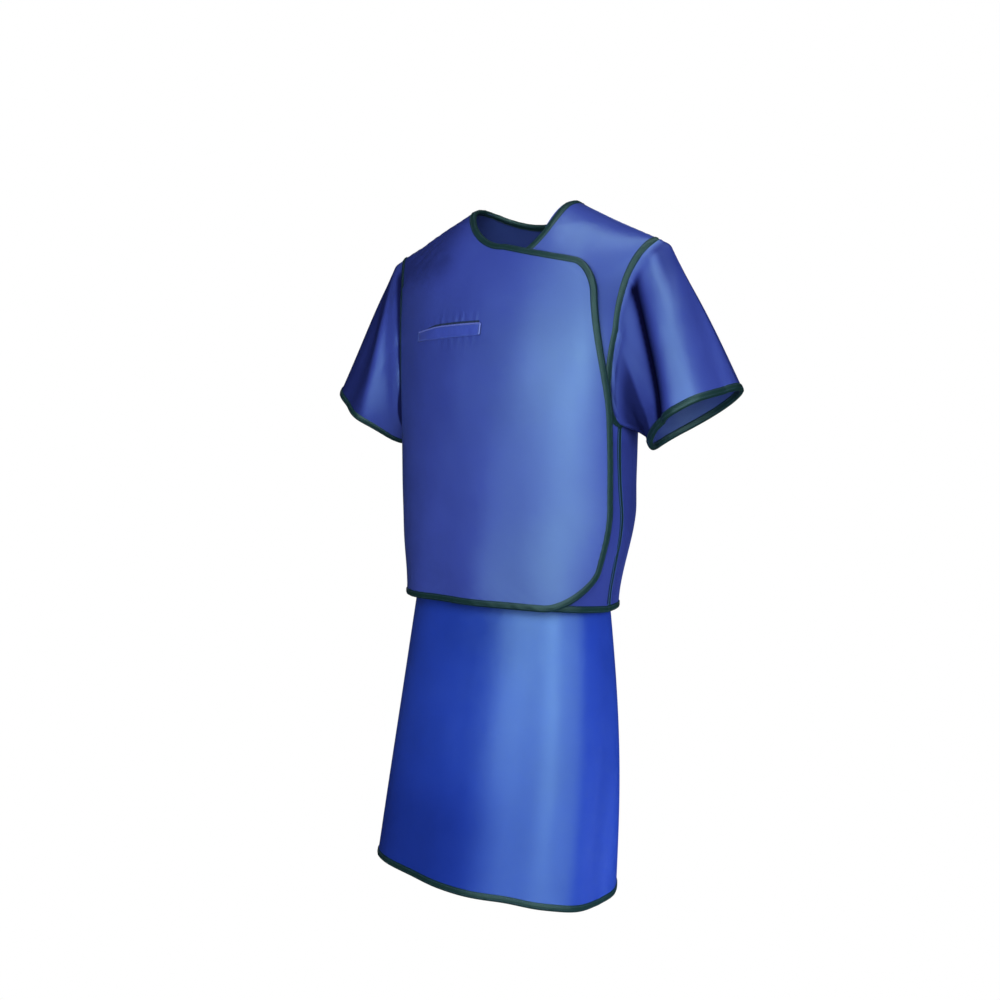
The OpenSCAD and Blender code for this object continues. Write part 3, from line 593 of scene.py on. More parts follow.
def gridQuads(m, n, ring=False):
    i, j = np.meshgrid(np.arange(m - 1), np.arange(n if ring else n - 1), indexing="ij")
    k = (j + 1) % n
    return np.stack([i * n + j, i * n + k, (i + 1) * n + k, (i + 1) * n + j], -1).reshape(-1, 4)


def closedQuads(m, n, ring=False):
    top = m * n
    flat = gridQuads(m, n, ring)
    j = np.arange(n if ring else n - 1)
    k = (j + 1) % n
    e = (m - 1) * n
    parts = [flat[:, ::-1], flat + top, np.stack([j, k, top + k, top + j], -1),
             np.stack([e + k, e + j, top + e + j, top + e + k], -1)]
    if not ring:
        i = np.arange(m - 1) * n
        z = i + n - 1
        parts += [np.stack([i + n, i, top + i, top + i + n], -1),
                  np.stack([z, z + n, top + z + n, top + z], -1)]
    return np.concatenate(parts)


def slab(name, low, high, material, uv=None, ring=False, sharp=38, shade=None):
    points = np.concatenate([low.reshape(-1, 3), high.reshape(-1, 3)])
    both = None if uv is None else np.concatenate([uv, uv])
    return buildMesh(name, points, closedQuads(*low.shape[:2], ring), material, both, sharp, shade)


def runLengths(g, axis):
    step = np.linalg.norm(np.diff(g, axis=axis), axis=-1)
    first = np.zeros_like(np.take(step, [0], axis))
    return np.concatenate([first, np.cumsum(step, axis)], axis)


# Lays a sheet out flat in metres, for its weave
def cutMap(g, spine=0, ring=False):
    across, along = runLengths(g, 1), runLengths(g, 0)
    if not ring:
        across, along = across - across[:, [spine]], np.repeat(along[:, [spine]], g.shape[1], 1)
    return np.stack([across, along], -1).reshape(-1, 2) * 0.001


def layerOf(name, panel, low, high, material, step=1):
    p, n, shade = panel["points"], panel["normals"], None
    if panel["shade"] is not None and step == 1:
        shade = np.tile(panel["shade"].ravel(), 2)
    if step > 1:
        picks = np.ix_(*(np.unique(np.append(np.arange(0, m, step), m - 1)) for m in p.shape[:2]))
        p, n = p[picks], n[picks]
    uv = cutMap(p, panel["spine"] // step, panel["ring"])
    return slab(name, p + n * low, p + n * high, material, uv, panel["ring"], shade=shade)


# Materials
def node(tree, kind, **settings):
    made = tree.nodes.new(kind)
    for key, value in settings.items():
        if hasattr(made, key):
            setattr(made, key, value)
        else:
            made.inputs[key.replace("_", " ")].default_value = value
    return made


def shaderTree(name):
    material = bpy.data.materials.new(name)
    material.use_nodes = True
    return material, material.node_tree, material.node_tree.nodes["Principled BSDF"]


def noise(tree, vector, scale, detail, rough=0.55):
    made = node(tree, "ShaderNodeTexNoise", Scale=scale, Detail=detail, Roughness=rough)
    tree.links.new(vector, made.inputs["Vector"])
    return made.outputs["Fac"]


def remap(tree, value, low, high, fromLow=0.3, fromHigh=0.7):
    made = node(tree, "ShaderNodeMapRange", From_Min=fromLow, From_Max=fromHigh, To_Min=low, To_Max=high)
    tree.links.new(value, made.inputs["Value"])
    return made.outputs["Result"]


def merge(tree, operation, a, b):
    made = node(tree, "ShaderNodeMath", operation=operation)
    tree.links.new(a, made.inputs[0])
    tree.links.new(b, made.inputs[1])
    return made.outputs["Value"]


# A side of the mix that is a plain colour is given as one, the other as a socket
def mixColour(tree, fac, a, b):
    made = node(tree, "ShaderNodeMix", data_type="RGBA")
    tree.links.new(fac, made.inputs[0])
    for socket, side in ((made.inputs[6], a), (made.inputs[7], b)):
        if isinstance(side, tuple):
            socket.default_value = (*side, 1)
        else:
            tree.links.new(side, socket)
    return made.outputs[2]


# Two sets of bands, each 0.314 long at scale 1, for warp and weft
bandLength = 0.314


def weave(tree, vector, pitch):
    bands = []
    for direction in ("X", "Y"):
        made = node(tree, "ShaderNodeTexWave", bands_direction=direction, Scale=bandLength / pitch,
                    Distortion=0.6, Detail=1)
        tree.links.new(vector, made.inputs["Vector"])
        bands.append(made.outputs["Fac"])
    return merge(tree, "ADD", *bands)


def bump(tree, height, distance, strength, before=None):
    made = node(tree, "ShaderNodeBump", Distance=distance, Strength=strength)
    tree.links.new(height, made.inputs["Height"])
    if before is not None:
        tree.links.new(before, made.inputs["Normal"])
    return made.outputs["Normal"]


# A shaded cloth gets painted shade: its colour darkens and its gloss fades in creases, by ambient occlusion,
# and where its shade attribute is high
paintedShade = {"deep": (0.001, 0.001, 0.008), "reach": 0.03}
clothGrain = {"tone": 5.5, "gloss": 38, "rumple": 24, "threadDepth": 0.00012, "rumpleDepth": 0.0005}


def cloth(name, dark, pale, rough, sheen=0.0, tint=(0.5, 0.6, 1.0), pitch=0.0008, specular=0.5,
          gloss=(0.6, 0.92, 1.0), shaded=False):
    material, tree, shader = shaderTree(name)
    link, sockets = tree.links.new, shader.inputs
    spot = node(tree, "ShaderNodeTexCoord").outputs
    colour = mixColour(tree, remap(tree, noise(tree, spot["Object"], clothGrain["tone"], 3), 0, 1),
                       dark, pale)
    sockets["Specular IOR Level"].default_value = specular
    if shaded:
        # Painted shade: ambient occlusion and the mesh's shade attribute darken the colour towards deep and
        # take away gloss
        hidden = node(tree, "ShaderNodeAmbientOcclusion", samples=8, Distance=paintedShade["reach"])
        fold = node(tree, "ShaderNodeAttribute", attribute_name="shade").outputs["Fac"]
        clear = remap(tree, hidden.outputs["AO"], 0.05, 1, 0.3, 0.78)
        lit = merge(tree, "MULTIPLY", clear, remap(tree, merge(tree, "MULTIPLY", fold, fold), 1, 0.02, 0, 1))
        colour = mixColour(tree, lit, paintedShade["deep"], colour)
        bare = remap(tree, fold, 1, 0, 0, 1)
        gleam = merge(tree, "MULTIPLY", lit, merge(tree, "MULTIPLY", bare, bare))
        link(remap(tree, gleam, 0, specular, 0, 1), sockets["Specular IOR Level"])
    link(colour, sockets["Base Color"])
    grain = noise(tree, spot["Object"], clothGrain["gloss"], 4)
    link(remap(tree, grain, rough - 0.04, rough + 0.05), sockets["Roughness"])
    threads = bump(tree, weave(tree, spot["UV"], pitch), clothGrain["threadDepth"], 0.5)
    rumple = noise(tree, spot["Object"], clothGrain["rumple"], 3, 0.5)
    link(bump(tree, rumple, clothGrain["rumpleDepth"], 0.7, threads), sockets["Normal"])
    sockets["Specular Tint"].default_value = (*gloss, 1)
    sockets["Sheen Weight"].default_value = sheen
    sockets["Sheen Roughness"].default_value = 0.4
    sockets["Sheen Tint"].default_value = (*tint, 1)
    return material


vestCloth = cloth("vestCloth", (0.022, 0.034, 0.192), (0.030, 0.046, 0.245), 0.33, specular=0.9,
                  gloss=(0.5, 0.92, 1.0), shaded=True)
skirtCloth = cloth("skirtCloth", (0.008, 0.027, 0.235), (0.012, 0.036, 0.295), 0.33, specular=0.9,
                   gloss=(0.5, 0.92, 1.0), shaded=True)
weltCloth = cloth("weltCloth", (0.024, 0.040, 0.235), (0.036, 0.060, 0.310), 0.4, 0.2, (0.6, 0.68, 1.0),
                  shaded=True)
# A paler blue for the pocket's rim: a painted highlight, for the light on its lip
rimHighlightCloth = cloth("rimHighlightCloth", (0.070, 0.090, 0.320), (0.100, 0.122, 0.390), 0.4, specular=0.8)
liningCloth = cloth("liningCloth", (0.016, 0.030, 0.150), (0.024, 0.042, 0.200), 0.6, 0.08, pitch=0.001)
# Dark cloth for the pocket bag, also used for the painted shadow of the pocket's mouth
bagAndMouthShadowCloth = cloth("bagAndMouthShadowCloth", (0.004, 0.007, 0.030), (0.006, 0.010, 0.045), 0.8, 0.02, (0.6, 0.7, 1.0), 0.001)
tapeCloth = cloth("tapeCloth", (0.003, 0.013, 0.013), (0.006, 0.022, 0.021), 0.42, pitch=0.0011,
                  specular=0.32, gloss=(0.6, 1.0, 0.95))
hookCloth = cloth("hookCloth", (0.010, 0.014, 0.040), (0.020, 0.026, 0.066), 0.75, 0.3, pitch=0.0016,
                  specular=0.25)
loopCloth = cloth("loopCloth", (0.012, 0.018, 0.055), (0.024, 0.034, 0.090), 0.9, 0.6, pitch=0.0022,
                  specular=0.15)
threadCloth = cloth("threadCloth", (0.012, 0.028, 0.050), (0.018, 0.040, 0.070), 0.5, 0.1, (0.6, 0.8, 1.0),
                    0.0004)
blueThread = cloth("blueThread", (0.02, 0.05, 0.26), (0.03, 0.07, 0.34), 0.45, 0.25, (0.6, 0.7, 1.0), 0.0004)
coreRubber, _, coreShader = shaderTree("coreRubber")
coreShader.inputs["Base Color"].default_value = (0.035, 0.036, 0.038, 1)
coreShader.inputs["Roughness"].default_value = 0.8
print("stage: materials")

# Where the cloth bends from one body to the next: a spot, a way, and how far along it the bend runs
foldSpot, foldWay = np.array([vest["foldX"], 0, 0]), np.array([1.0, 0, 0])
armSpot, armWay = np.zeros(3), np.array([0.99, 0, -0.139])
cornerSpot, cornerWay = np.array([-163.24, -3.78, -187.44]), np.array([-0.30595, 0.87747, -0.36938])


def bendAlong(spot, way, start, end):
    return np.array([spot + way * start, spot + way * end])


bends = {
    "wrap": ("vest", "front_flap", bendAlong(foldSpot, foldWay, -32, 32)),
    "leftSleeve": ("vest", "left_sleeve", bendAlong(armSpot, armWay, 178, 232)),
    "rightSleeve": ("vest", "right_sleeve", bendAlong(armSpot, armWay * (-1, 1, 1), 178, 232)),
    "corner": ("skirt", "skirt_corner", bendAlong(cornerSpot, cornerWay, 5, 38)),
}


def place(obj, holder, slot, *nodes):
    if holder in bends:
        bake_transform(obj)
    else:
        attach(obj, holder)
    if nodes:
        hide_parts(*nodes)
    return obj


# Panels: cover, core and lining of each
panels = {
    "wrapFront": {"panel": wrap, "holder": "wrap", "nodes": ("right_front", "front_flap"), "cloth": vestCloth,
                  "rests": ["leftFrontCover", "wearer_shoulders"]},
    "leftFront": {"panel": leftFront, "holder": "vest", "nodes": ("left_front",), "cloth": vestCloth,
                  "rests": ["wearer_shoulders"]},
    "vestBack": {"panel": back, "holder": "vest", "nodes": ("vest_back",), "cloth": vestCloth,
                 "rests": ["wearer_shoulders"]},
    "leftSleeve": {"panel": leftSleeve, "holder": "leftSleeve", "nodes": ("left_sleeve",), "cloth": vestCloth,
                   "rests": ["leftArmholeTape"]},
    "rightSleeve": {"panel": rightSleeve, "holder": "rightSleeve", "nodes": ("right_sleeve",),
                    "cloth": vestCloth, "rests": ["rightArmholeTape"]},
    "skirt": {"panel": skirtPanel, "holder": "skirt", "nodes": ("skirt",), "cloth": skirtCloth,
              "rests": ["wearer_waist"]},
    "skirtCorner": {"panel": skirtCorner, "holder": "corner", "nodes": ("skirt_corner",), "cloth": skirtCloth,
                    "rests": ["skirtCover"]},
}
for name, facts in panels.items():
    inner = 1 if facts["panel"]["ring"] else 2
    for layer, material, slot, step in (("cover", facts["cloth"], "cover_cloth", 1),
                                        ("core", coreRubber, "core_sheet", inner),
                                        ("lining", liningCloth, "lining_cloth", inner)):
        obj = layerOf(name + layer.capitalize(), facts["panel"], *stack[layer], material, step)
        place(obj, facts["holder"], slot, *[n + "_" + layer for n in facts["nodes"]])
print("stage: panels built")


# Edge tapes follow the panels by their nearest points
def searchTree(panel):
    flat = panel["points"].reshape(-1, 3)
    quads = gridQuads(*panel["points"].shape[:2], panel["ring"])
    tree = BVHTree.FromPolygons([tuple(q) for q in flat], [tuple(q) for q in quads.tolist()])
    return {"tree": tree, "quads": quads, "flat": flat, "up": panel["normals"].reshape(-1, 3)}


trees = {name: searchTree(facts["panel"]) for name, facts in panels.items()}
d, phi = np.meshgrid(depths, np.linspace(skirt["end"], skirt["end"] + 70, 60), indexing="ij")
trees["skirtLap"] = searchTree(panelOf(skirtSurface(phi, d), skirtNormals(phi, d)))


def onPanel(name, q):
    found = trees[name]
    spot, _, face, _ = found["tree"].find_nearest(Vector(q))
    corners = found["quads"][face]
    near = 1 / (np.linalg.norm(found["flat"][corners] - np.array(spot), axis=1) + 0.05) ** 2
    return np.array(spot), unit((found["up"][corners] * near[:, None]).sum(0))


# Spots and normals of a list, or of rows, of found points
def split(found):
    both = np.array(found)
    return both[..., 0, :], both[..., 1, :]


def gridPath(name, ri, ci):
    panel = panels[name]["panel"]
    points = panel["points"][ri, ci]
    return {"points": points, "normals": panel["normals"][ri, ci], "panel": [name] * len(points)}


def joined(*paths):
    return {"points": np.concatenate([p["points"] for p in paths]),
            "normals": np.concatenate([p["normals"] for p in paths]),
            "panel": sum([p["panel"] for p in paths], [])}


def readAlong(at, run, values):
    return np.stack([np.interp(at, run, values[:, k]) for k in range(3)], -1)


def resampled(path, step, closed=False, trim=(0, 0)):
    p, n, names = path["points"], path["normals"], np.array(path["panel"])
    if closed:
        p, n, names = np.concatenate([p, p[:1]]), np.concatenate([n, n[:1]]), np.append(names, names[0])
    run = np.concatenate([[0], np.cumsum(np.linalg.norm(np.diff(p, axis=0), axis=1))])
    count = max(4, int(round((run[-1] - sum(trim)) / step)))
    at = np.linspace(trim[0], run[-1] - trim[1], count + 1)[:-1 if closed else None]
    pick = np.clip(np.searchsorted(run, at), 1, len(run) - 1)
    pick = np.where(at - run[pick - 1] < run[pick] - at, pick - 1, pick)
    return {"points": readAlong(at, run, p), "normals": unit(readAlong(at, run, n)),
            "panel": list(names[pick]), "run": at, "closed": closed}


def pathFrames(path, hint):
    p = path["points"]
    if path["closed"]:
        tangent = unit(np.roll(p, -1, 0) - np.roll(p, 1, 0))
    else:
        tangent = unit(np.gradient(p, axis=0))
    return tangent, unit(np.cross(path["normals"], tangent)) * hint


# Section of the tape round an edge: share of its width from the edge inward, and height
tape = {"width": 9.0, "step": 2.6, "seams": (0.2, 0.78), "lift": 1.2, "stitchStep": 3.4, "round": 0.024}
outerLeg = [(1.0, 0.1), (1.0, 0.35), (0.9, 0.8), (0.7, 1.25), (0.45, 1.45), (0.2, 1.3), (0.0, 0.85)]
outerTurn = [(-0.115, 0.82), (-0.15, 0.5), (-0.115, 0.18)]
innerLeg = [(0.5, 0.18), (0.05, 0.18)]
innerTurn = [(-0.07, 0.2), (-0.08, 0.5), (-0.07, 0.8)]
tapeProfile = ([(u, outside + h) for u, h in outerLeg] + [(u, outside * h) for u, h in outerTurn]
               + [(u, -h) for u, h in outerLeg[::-1] + innerLeg] + [(u, outside * h) for u, h in innerTurn]
               + [(u, outside + h) for u, h in innerLeg[::-1]])


def legPoints(path, inward, shares, width):
    spots = {}
    for share in shares:
        moved = path["points"] + inward * share * width
        if share <= 0:
            spots[share] = (moved, path["normals"])
        else:
            spots[share] = split([onPanel(n, q) for n, q in zip(path["panel"], moved)])
    return spots


# Length, width and height of a stitch
stitch = {"tape": (2.6, 0.32, 0.26), "side": (2.3, 0.36, 0.3), "pocket": (2.2, 0.3, 0.25),
          "shoulder": (2.4, 0.3, 0.26)}


def sew(name, centres, ways, ups, size, thread, holder, slot):
    ways = unit(ways - ups * (ways * ups).sum(1, keepdims=True))
    sides = np.cross(ups, ways)
    turn = np.linspace(0, 2 * np.pi, 7)[:-1]
    ends = ((-0.5, 0.35), (-0.38, 1), (0.38, 1), (0.5, 0.35))
    shape = [(r, f * math.cos(a), f * math.sin(a)) for r, f in ends for a in turn]
    points = np.stack([centres + ways * (x * size[0]) + sides * (y * size[1]) + ups * (z * size[2])
                       for x, y, z in shape], 1)
    caps = np.array([[3, 2, 1, 0], [5, 4, 3, 0], [18, 19, 20, 21], [18, 21, 22, 23]])
    quads = np.concatenate([gridQuads(4, 6, True)[:, ::-1], caps[:, ::-1]])
    quads = (quads[None] + np.arange(len(centres))[:, None, None] * len(shape)).reshape(-1, 4)
    place(buildMesh(name, points.reshape(-1, 3), quads, thread, sharp=60), holder, slot)


def bindEdge(name, path, hint, holder, nodeName, closed=False, trim=(0, 0)):
    path = resampled(path, tape["step"], closed, trim)
    run = path["run"]
    tangent, inward = pathFrames(path, hint)
    spots = legPoints(path, inward, sorted({u for u, _ in tapeProfile} | set(tape["seams"])), tape["width"])
    lump = 0.10 * np.sin(run / 2.1) + 0.08 * np.sin(run / 5.3 + 0.8)
    rings = []
    for share, height in tapeProfile:
        at, up = spots[share]
        swell = lump if share > -0.05 and (height > outside + 0.3 or height < -0.3) else 0 * lump
        rings.append(at + up * (height + np.sign(height) * swell)[:, None])
    points = np.stack(rings, 1)
    m, n = points.shape[:2]
    quads = gridQuads(m, n, True)
    if closed:
        j = np.arange(n)
        k = (j + 1) % n
        quads = np.concatenate([quads, np.stack([(m - 1) * n + j, (m - 1) * n + k, k, j], -1)])
    else:
        j = np.arange(n // 2 - 1)
        start = np.stack([j, j + 1, n - 2 - j, n - 1 - j], -1)
        quads = np.concatenate([quads, start, (start + (m - 1) * n)[:, ::-1]])
    if hint < 0:
        quads = quads[:, ::-1]
    uv = np.stack([np.repeat(run * 0.001, n), np.tile(np.linspace(0, tape["round"], n), m)], -1)
    band = buildMesh(name, points.reshape(-1, 3), quads, tapeCloth, uv, 50)
    place(band, holder, "binding_tape", nodeName)
    pick = np.arange(run[0] + 2, run[-1] - 1, tape["stitchStep"])
    centres, ways, ups = [], [], []
    for share in tape["seams"]:
        at, up = spots[share]
        for side, lift in ((1, outside + tape["lift"]), (-1, -tape["lift"])):
            centres.append(readAlong(pick, run, at + up * lift))
            ways.append(unit(readAlong(pick, run, tangent)))
            ups.append(unit(readAlong(pick, run, up)) * side)
    sew(name + "Stitch", np.concatenate(centres), np.concatenate(ways), np.concatenate(ups),
        stitch["tape"], threadCloth, holder, "binding_tape")


allRows, lastWrap = np.arange(rowLast + 1), wrap["points"].shape[1] - 1
backLast, leftLast = len(backAngles) - 1, len(leftShares) - 1
armRows, cuffRow, cuffRound = allRows[rowUnder:], len(sleeveRun) - 1, np.arange(cells["sleeveRound"])
skirtRound = np.arange(cells["skirtRound"])
wrapEdge = joined(gridPath("wrapFront", rowLast, np.arange(wrapNeck, lastWrap + 1)),
                  gridPath("wrapFront", allRows[-2:0:-1], lastWrap),
                  gridPath("wrapFront", 0, np.arange(lastWrap, -1, -1)))
neckEdge = joined(gridPath("leftFront", rowLast, np.arange(0, leftNeck + 1)),
                  gridPath("vestBack", rowLast, np.arange(backNeck[0] + 1, backNeck[1] + 1)))
hemEdge = joined(gridPath("vestBack", 0, np.arange(backLast, -1, -1)),
                 gridPath("leftFront", 0, np.arange(leftLast - 1, -1, -1)))
leftArm = joined(gridPath("leftFront", armRows, leftLast), gridPath("vestBack", armRows[-2:0:-1], 0))
rightArm = joined(gridPath("wrapFront", armRows, 0), gridPath("vestBack", armRows[-2:0:-1], backLast))
# The skirt's corner narrows to a point, where its tape runs on over the skirt
cornerEdge = gridPath("skirtCorner", np.arange(1, depthCorner + 1), 0)
cornerEdge["panel"] = ["skirtLap"] * depthCorner
cornerHem = gridPath("skirtCorner", 0, np.arange(cells["corner"] - 1, -1, -1))
# Each tape: its edge, the side that its panel lies on, what carries it, its node, closed or not, bare ends
for name, edge, side, holder, nodeName, closed, trim in (
        ("wrapFrontTape", wrapEdge, -1, "wrap", "front_flap_tape", False, (0, 0)),
        ("neckTape", neckEdge, -1, "vest", "neck_tape", False, (0, 0)),
        ("vestHemTape", hemEdge, -1, "vest", "vest_hem_tape", False, (0, 0)),
        ("leftFrontTape", gridPath("leftFront", allRows, 0), -1, "vest", "left_front_tape", False, (10, 10)),
        ("leftArmholeTape", leftArm, 1, "vest", "left_armhole_tape", True, (0, 0)),
        ("rightArmholeTape", rightArm, -1, "vest", "right_armhole_tape", True, (0, 0)),
        ("leftCuffTape", gridPath("leftSleeve", cuffRow, cuffRound), -1, "leftSleeve", "left_cuff_tape", True,
         (0, 0)),
        ("rightCuffTape", gridPath("rightSleeve", cuffRow, cuffRound), -1, "rightSleeve", "right_cuff_tape",
         True, (0, 0)),
        ("skirtWaistTape", gridPath("skirt", len(depths) - 1, skirtRound), -1, "skirt", "skirt_waist_tape",
         False, (0, 0)),
        ("skirtHemTape", gridPath("skirt", 0, skirtRound), 1, "skirt", "skirt_hem_tape", False, (0, 0)),
        ("skirtEdgeTape", gridPath("skirt", np.arange(depthCorner, len(depths)), 0), -1, "skirt",
         "skirt_edge_tape", False, (0, 10)),
        ("skirtUnderTape", gridPath("skirt", np.arange(len(depths)), skirtRound[-1]), 1, "skirt",
         "skirt_under_tape", False, (10, 10)),
        ("skirtCornerTape", joined(cornerHem, cornerEdge), -1, "corner", "skirt_corner_tape", False,
         (0, 0.8))):
    bindEdge(name, edge, side, holder, nodeName, closed, trim)
print("stage: tapes")

# Flat tapes over the side seams, with a row of stitches along each edge
sideTape = {"half": 4.2, "cells": 7, "bare": 9, "step": 3.0, "seam": 2.8}
for name, front, column, nodeName in (("leftSideTape", "leftFront", leftLast, "left_side_tape"),
                                      ("rightSideTape", "wrapFront", 0, "right_side_tape")):
    edge = gridPath(front, np.arange(0, rowUnder + 1), column)
    line = resampled(edge, sideTape["step"], trim=(sideTape["bare"], sideTape["bare"]))
    spots, ups = line["points"], line["normals"]
    side = unit(np.cross(ups, np.array([0.0, 0, 1.0])))
    across = np.linspace(-1, 1, sideTape["cells"])
    rings = np.stack([spots + side * k for k in across * sideTape["half"]], 1)
    lift = outside + 0.25 + 0.7 * (1 - across ** 4)[None, :, None]
    strip = slab(name, rings + ups[:, None] * (outside + 0.05), rings + ups[:, None] * lift, tapeCloth,
                 cutMap(rings))
    place(strip, "vest", "binding_tape", nodeName)
    ways, ups, side, spots = unit(np.gradient(spots, axis=0))[1:-1], ups[1:-1], side[1:-1], spots[1:-1]
    centres = [spots + side * k + ups * (outside + 0.98) for k in (-sideTape["seam"], sideTape["seam"])]
    sew(name + "Stitch", np.concatenate(centres), np.tile(ways, (2, 1)), np.tile(ups, (2, 1)),
        stitch["side"], blueThread, "vest", "binding_tape")


# Spots on a front panel, from the body's own x and v
def onFront(panelName, x, v, lap):
    base = frontSurface(np.array(x, float), np.array(v, float))
    return onPanel(panelName, base + np.array([0, -1.0, 0]) * lap)


def onWrap(x, v):
    return onFront("wrapFront", x, v, stack["lap"])


# Hook and loop strips: across and up the fronts and down the skirt in millimetres, round it in degrees
closure = {"flapHook": {"x": (108, 161, 30), "v": (95, 448, 150)},
           "frontLoop": {"x": (98, 167, 40), "v": (96, 460, 150)},
           "skirtHook": (-445, -430, 24), "skirtLoop": (-85, -70, 24), "skirtDown": (95, 12, 50)}


def closureStrip(name, panelName, span, lap, low, high, material, holder, nodeName):
    xs, vs = np.linspace(*span["x"]), np.linspace(*span["v"])
    spots, ups = split([[onFront(panelName, x, v, lap) for x in xs] for v in vs])
    m, n = spots.shape[:2]
    i, j = np.meshgrid(np.arange(m), np.arange(n), indexing="ij")
    rim = np.minimum(np.minimum(i, m - 1 - i), np.minimum(j, n - 1 - j))
    soft = np.where(rim == 0, 0.45, np.where(rim == 1, 0.8, 1.0))
    pile = 0.12 * np.sin(i * 1.9 + 0.7 * j) * np.sin(j * 2.3) * (rim > 1)
    face = spots + ups * (mix(low, high, soft) + np.sign(high - low) * pile)[..., None]
    layers = (spots + ups * low, face) if high > low else (face, spots + ups * low)
    place(slab(name, *layers, material, cutMap(spots), sharp=60), holder, "closure_strip", nodeName)


def skirtStrip(name, turn, low, high, material, nodeName):
    d, phi = np.meshgrid(np.linspace(*closure["skirtDown"]), np.linspace(*turn), indexing="ij")
    spots, ups = skirtSurface(phi, d), skirtNormals(phi, d)
    strip = slab(name, spots + ups * low, spots + ups * high, material, cutMap(spots), sharp=60)
    place(strip, "skirt", "closure_strip", nodeName)


inside, onTop = (-0.2, -1.3), (outside + 0.2, outside + 1.3)
closureStrip("flapHookStrip", "wrapFront", closure["flapHook"], stack["lap"], *inside, hookCloth,
             "front_flap", "flap_hook_strip")
closureStrip("frontLoopStrip", "leftFront", closure["frontLoop"], 0, *onTop, loopCloth, "vest",
             "front_loop_strip")
skirtStrip("skirtHookStrip", closure["skirtHook"], *inside[::-1], hookCloth, "skirt_hook_strip")
skirtStrip("skirtLoopStrip", closure["skirtLoop"], *onTop, loopCloth, "skirt_loop_strip")

# Breast pocket: a folded welt sewn down at its ends and lower edge, over a dark mouth, which is a thin dark
# strip laid on the cover: painted shadow of the slit
weltXs = np.linspace(welt["left"], welt["right"], 90)
weltProfile = [(0.0, 0.1), (0.25, 0.75), (1.2, 1.15), (4.0, 1.25), (9.0, 1.3), (14.0, 1.45), (17.8, 1.75),
               (19.3, 1.95), (20.2, 1.7), (20.5, 1.0), (20.2, 0.3), (12.0, 0.12), (4.0, 0.1)]
profileTall = 20
rings = []
for x in weltXs:
    end = max(0, min(1.0, min(x - welt["left"], welt["right"] - x) / 2.2))
    swell = 0.08 * math.sin(x / 6.1) + 0.06 * math.sin(x / 2.9 + 1)
    ring = []
    for far, height in weltProfile:
        at, up = onWrap(x, weltLow(x) + far * weltTall(x) / profileTall)
        lift = 0.1 + (height - 0.1) * (0.35 + 0.65 * math.sqrt(end)) + (swell if height > 0.5 else 0)
        ring.append(at + up * (outside + lift))
    rings.append(ring)
points = np.array(rings)
m, n = points.shape[:2]
j = np.arange(n // 2 - 1)
cap = np.stack([j, j + 1, n - 2 - j, n - 1 - j], -1)
quads = np.concatenate([gridQuads(m, n, True), cap, (cap + (m - 1) * n)[:, ::-1]])
uv = np.stack([np.repeat(weltXs, n) * 0.001, np.tile(np.linspace(0, 0.045, n), m)], -1)
# Painted shade on the welt, darker towards its left end
weltShade = np.repeat(0.6 * (1 - ease((weltXs - welt["left"]) / 75)), n)
weltBand = buildMesh("pocketWelt", points.reshape(-1, 3), quads, weltCloth, uv, 60, weltShade)
place(weltBand, "wrap", "cover_cloth", "pocket_welt")
# The mouth is painted shadow: a dark strip just above the welt, on the cover
mouthXs = np.linspace(welt["left"] + 3, welt["right"] - 3, 50)
mouthGape = mix(0.3, 1.0, ease((mouthXs - welt["left"]) / 40))
spots, ups = split([[onWrap(x, weltLow(x) + weltTall(x) + far * gape - 0.6)
                     for x, gape in zip(mouthXs, mouthGape)] for far in (0.0, 1.8, 3.6, 5.4)])
mouth = slab("pocketMouthShadow", spots + ups * (outside + 0.05), spots + ups * (outside + 0.25), bagAndMouthShadowCloth)
place(mouth, "wrap", "lining_cloth")


def roundEdge(name, centres, ups, radius, material):
    ways = unit(np.gradient(centres, axis=0))
    sides = unit(np.cross(ups, ways))
    fat = np.full(len(centres), radius)
    fat[[0, -1]] *= 0.4
    points = np.stack([centres + (sides * math.cos(a) + ups * math.sin(a)) * fat[:, None]
                       for a in np.linspace(0, 2 * np.pi, 9)[:-1]], 1)
    cap = np.array([[0, 1, 2, 3], [0, 3, 4, 7], [4, 5, 6, 7]])
    quads = np.concatenate([gridQuads(len(centres), 8, True), cap[:, ::-1], cap + (len(centres) - 1) * 8])
    return buildMesh(name, points.reshape(-1, 3), quads, material, sharp=80)


# The rim is drawn paler than the welt, a painted highlight along its lip
rim = [(x, weltLow(x) + weltTall(x) + 0.1) for x in np.linspace(welt["left"], welt["right"] - 1.2, 80)]
rim += [(welt["right"] + 0.1, weltLow(welt["right"]) + far * welt["height"])
        for far in np.linspace(0.94, 0.02, 16)]
spots, ups = split([onWrap(x, v) for x, v in rim])
place(roundEdge("pocketRim", spots + ups * (outside + 1.7), ups, 1.25, rimHighlightCloth), "wrap", "cover_cloth")
tacks = [(x, weltLow(x) + far * weltTall(x), 1.35, 0.1) for x in (welt["left"] + 1.2, welt["right"] - 1.2)
         for far in np.linspace(0.04, 0.94, 13)]
tacks += [(x, weltLow(x) + 1.6, 1.22, 0.0) for x in np.arange(welt["left"] + 4, welt["right"] - 3, 3.2)]
spots, ups = split([onWrap(x, v) for x, v, _, _ in tacks])
centres = spots + ups * (outside + np.array([lift for _, _, lift, _ in tacks]))[:, None]
ways = unit(np.cross(ups, np.array([(lean, 0, 1.0) for _, _, _, lean in tacks])))
sew("pocketStitch", centres, ways, ups, stitch["pocket"], blueThread, "wrap", "cover_cloth")
bagSize = {"x": (-108, -6, 30), "v": (285, 430, 40)}
spots, ups = split([[onWrap(x, v) for x in np.linspace(*bagSize["x"])] for v in np.linspace(*bagSize["v"])])
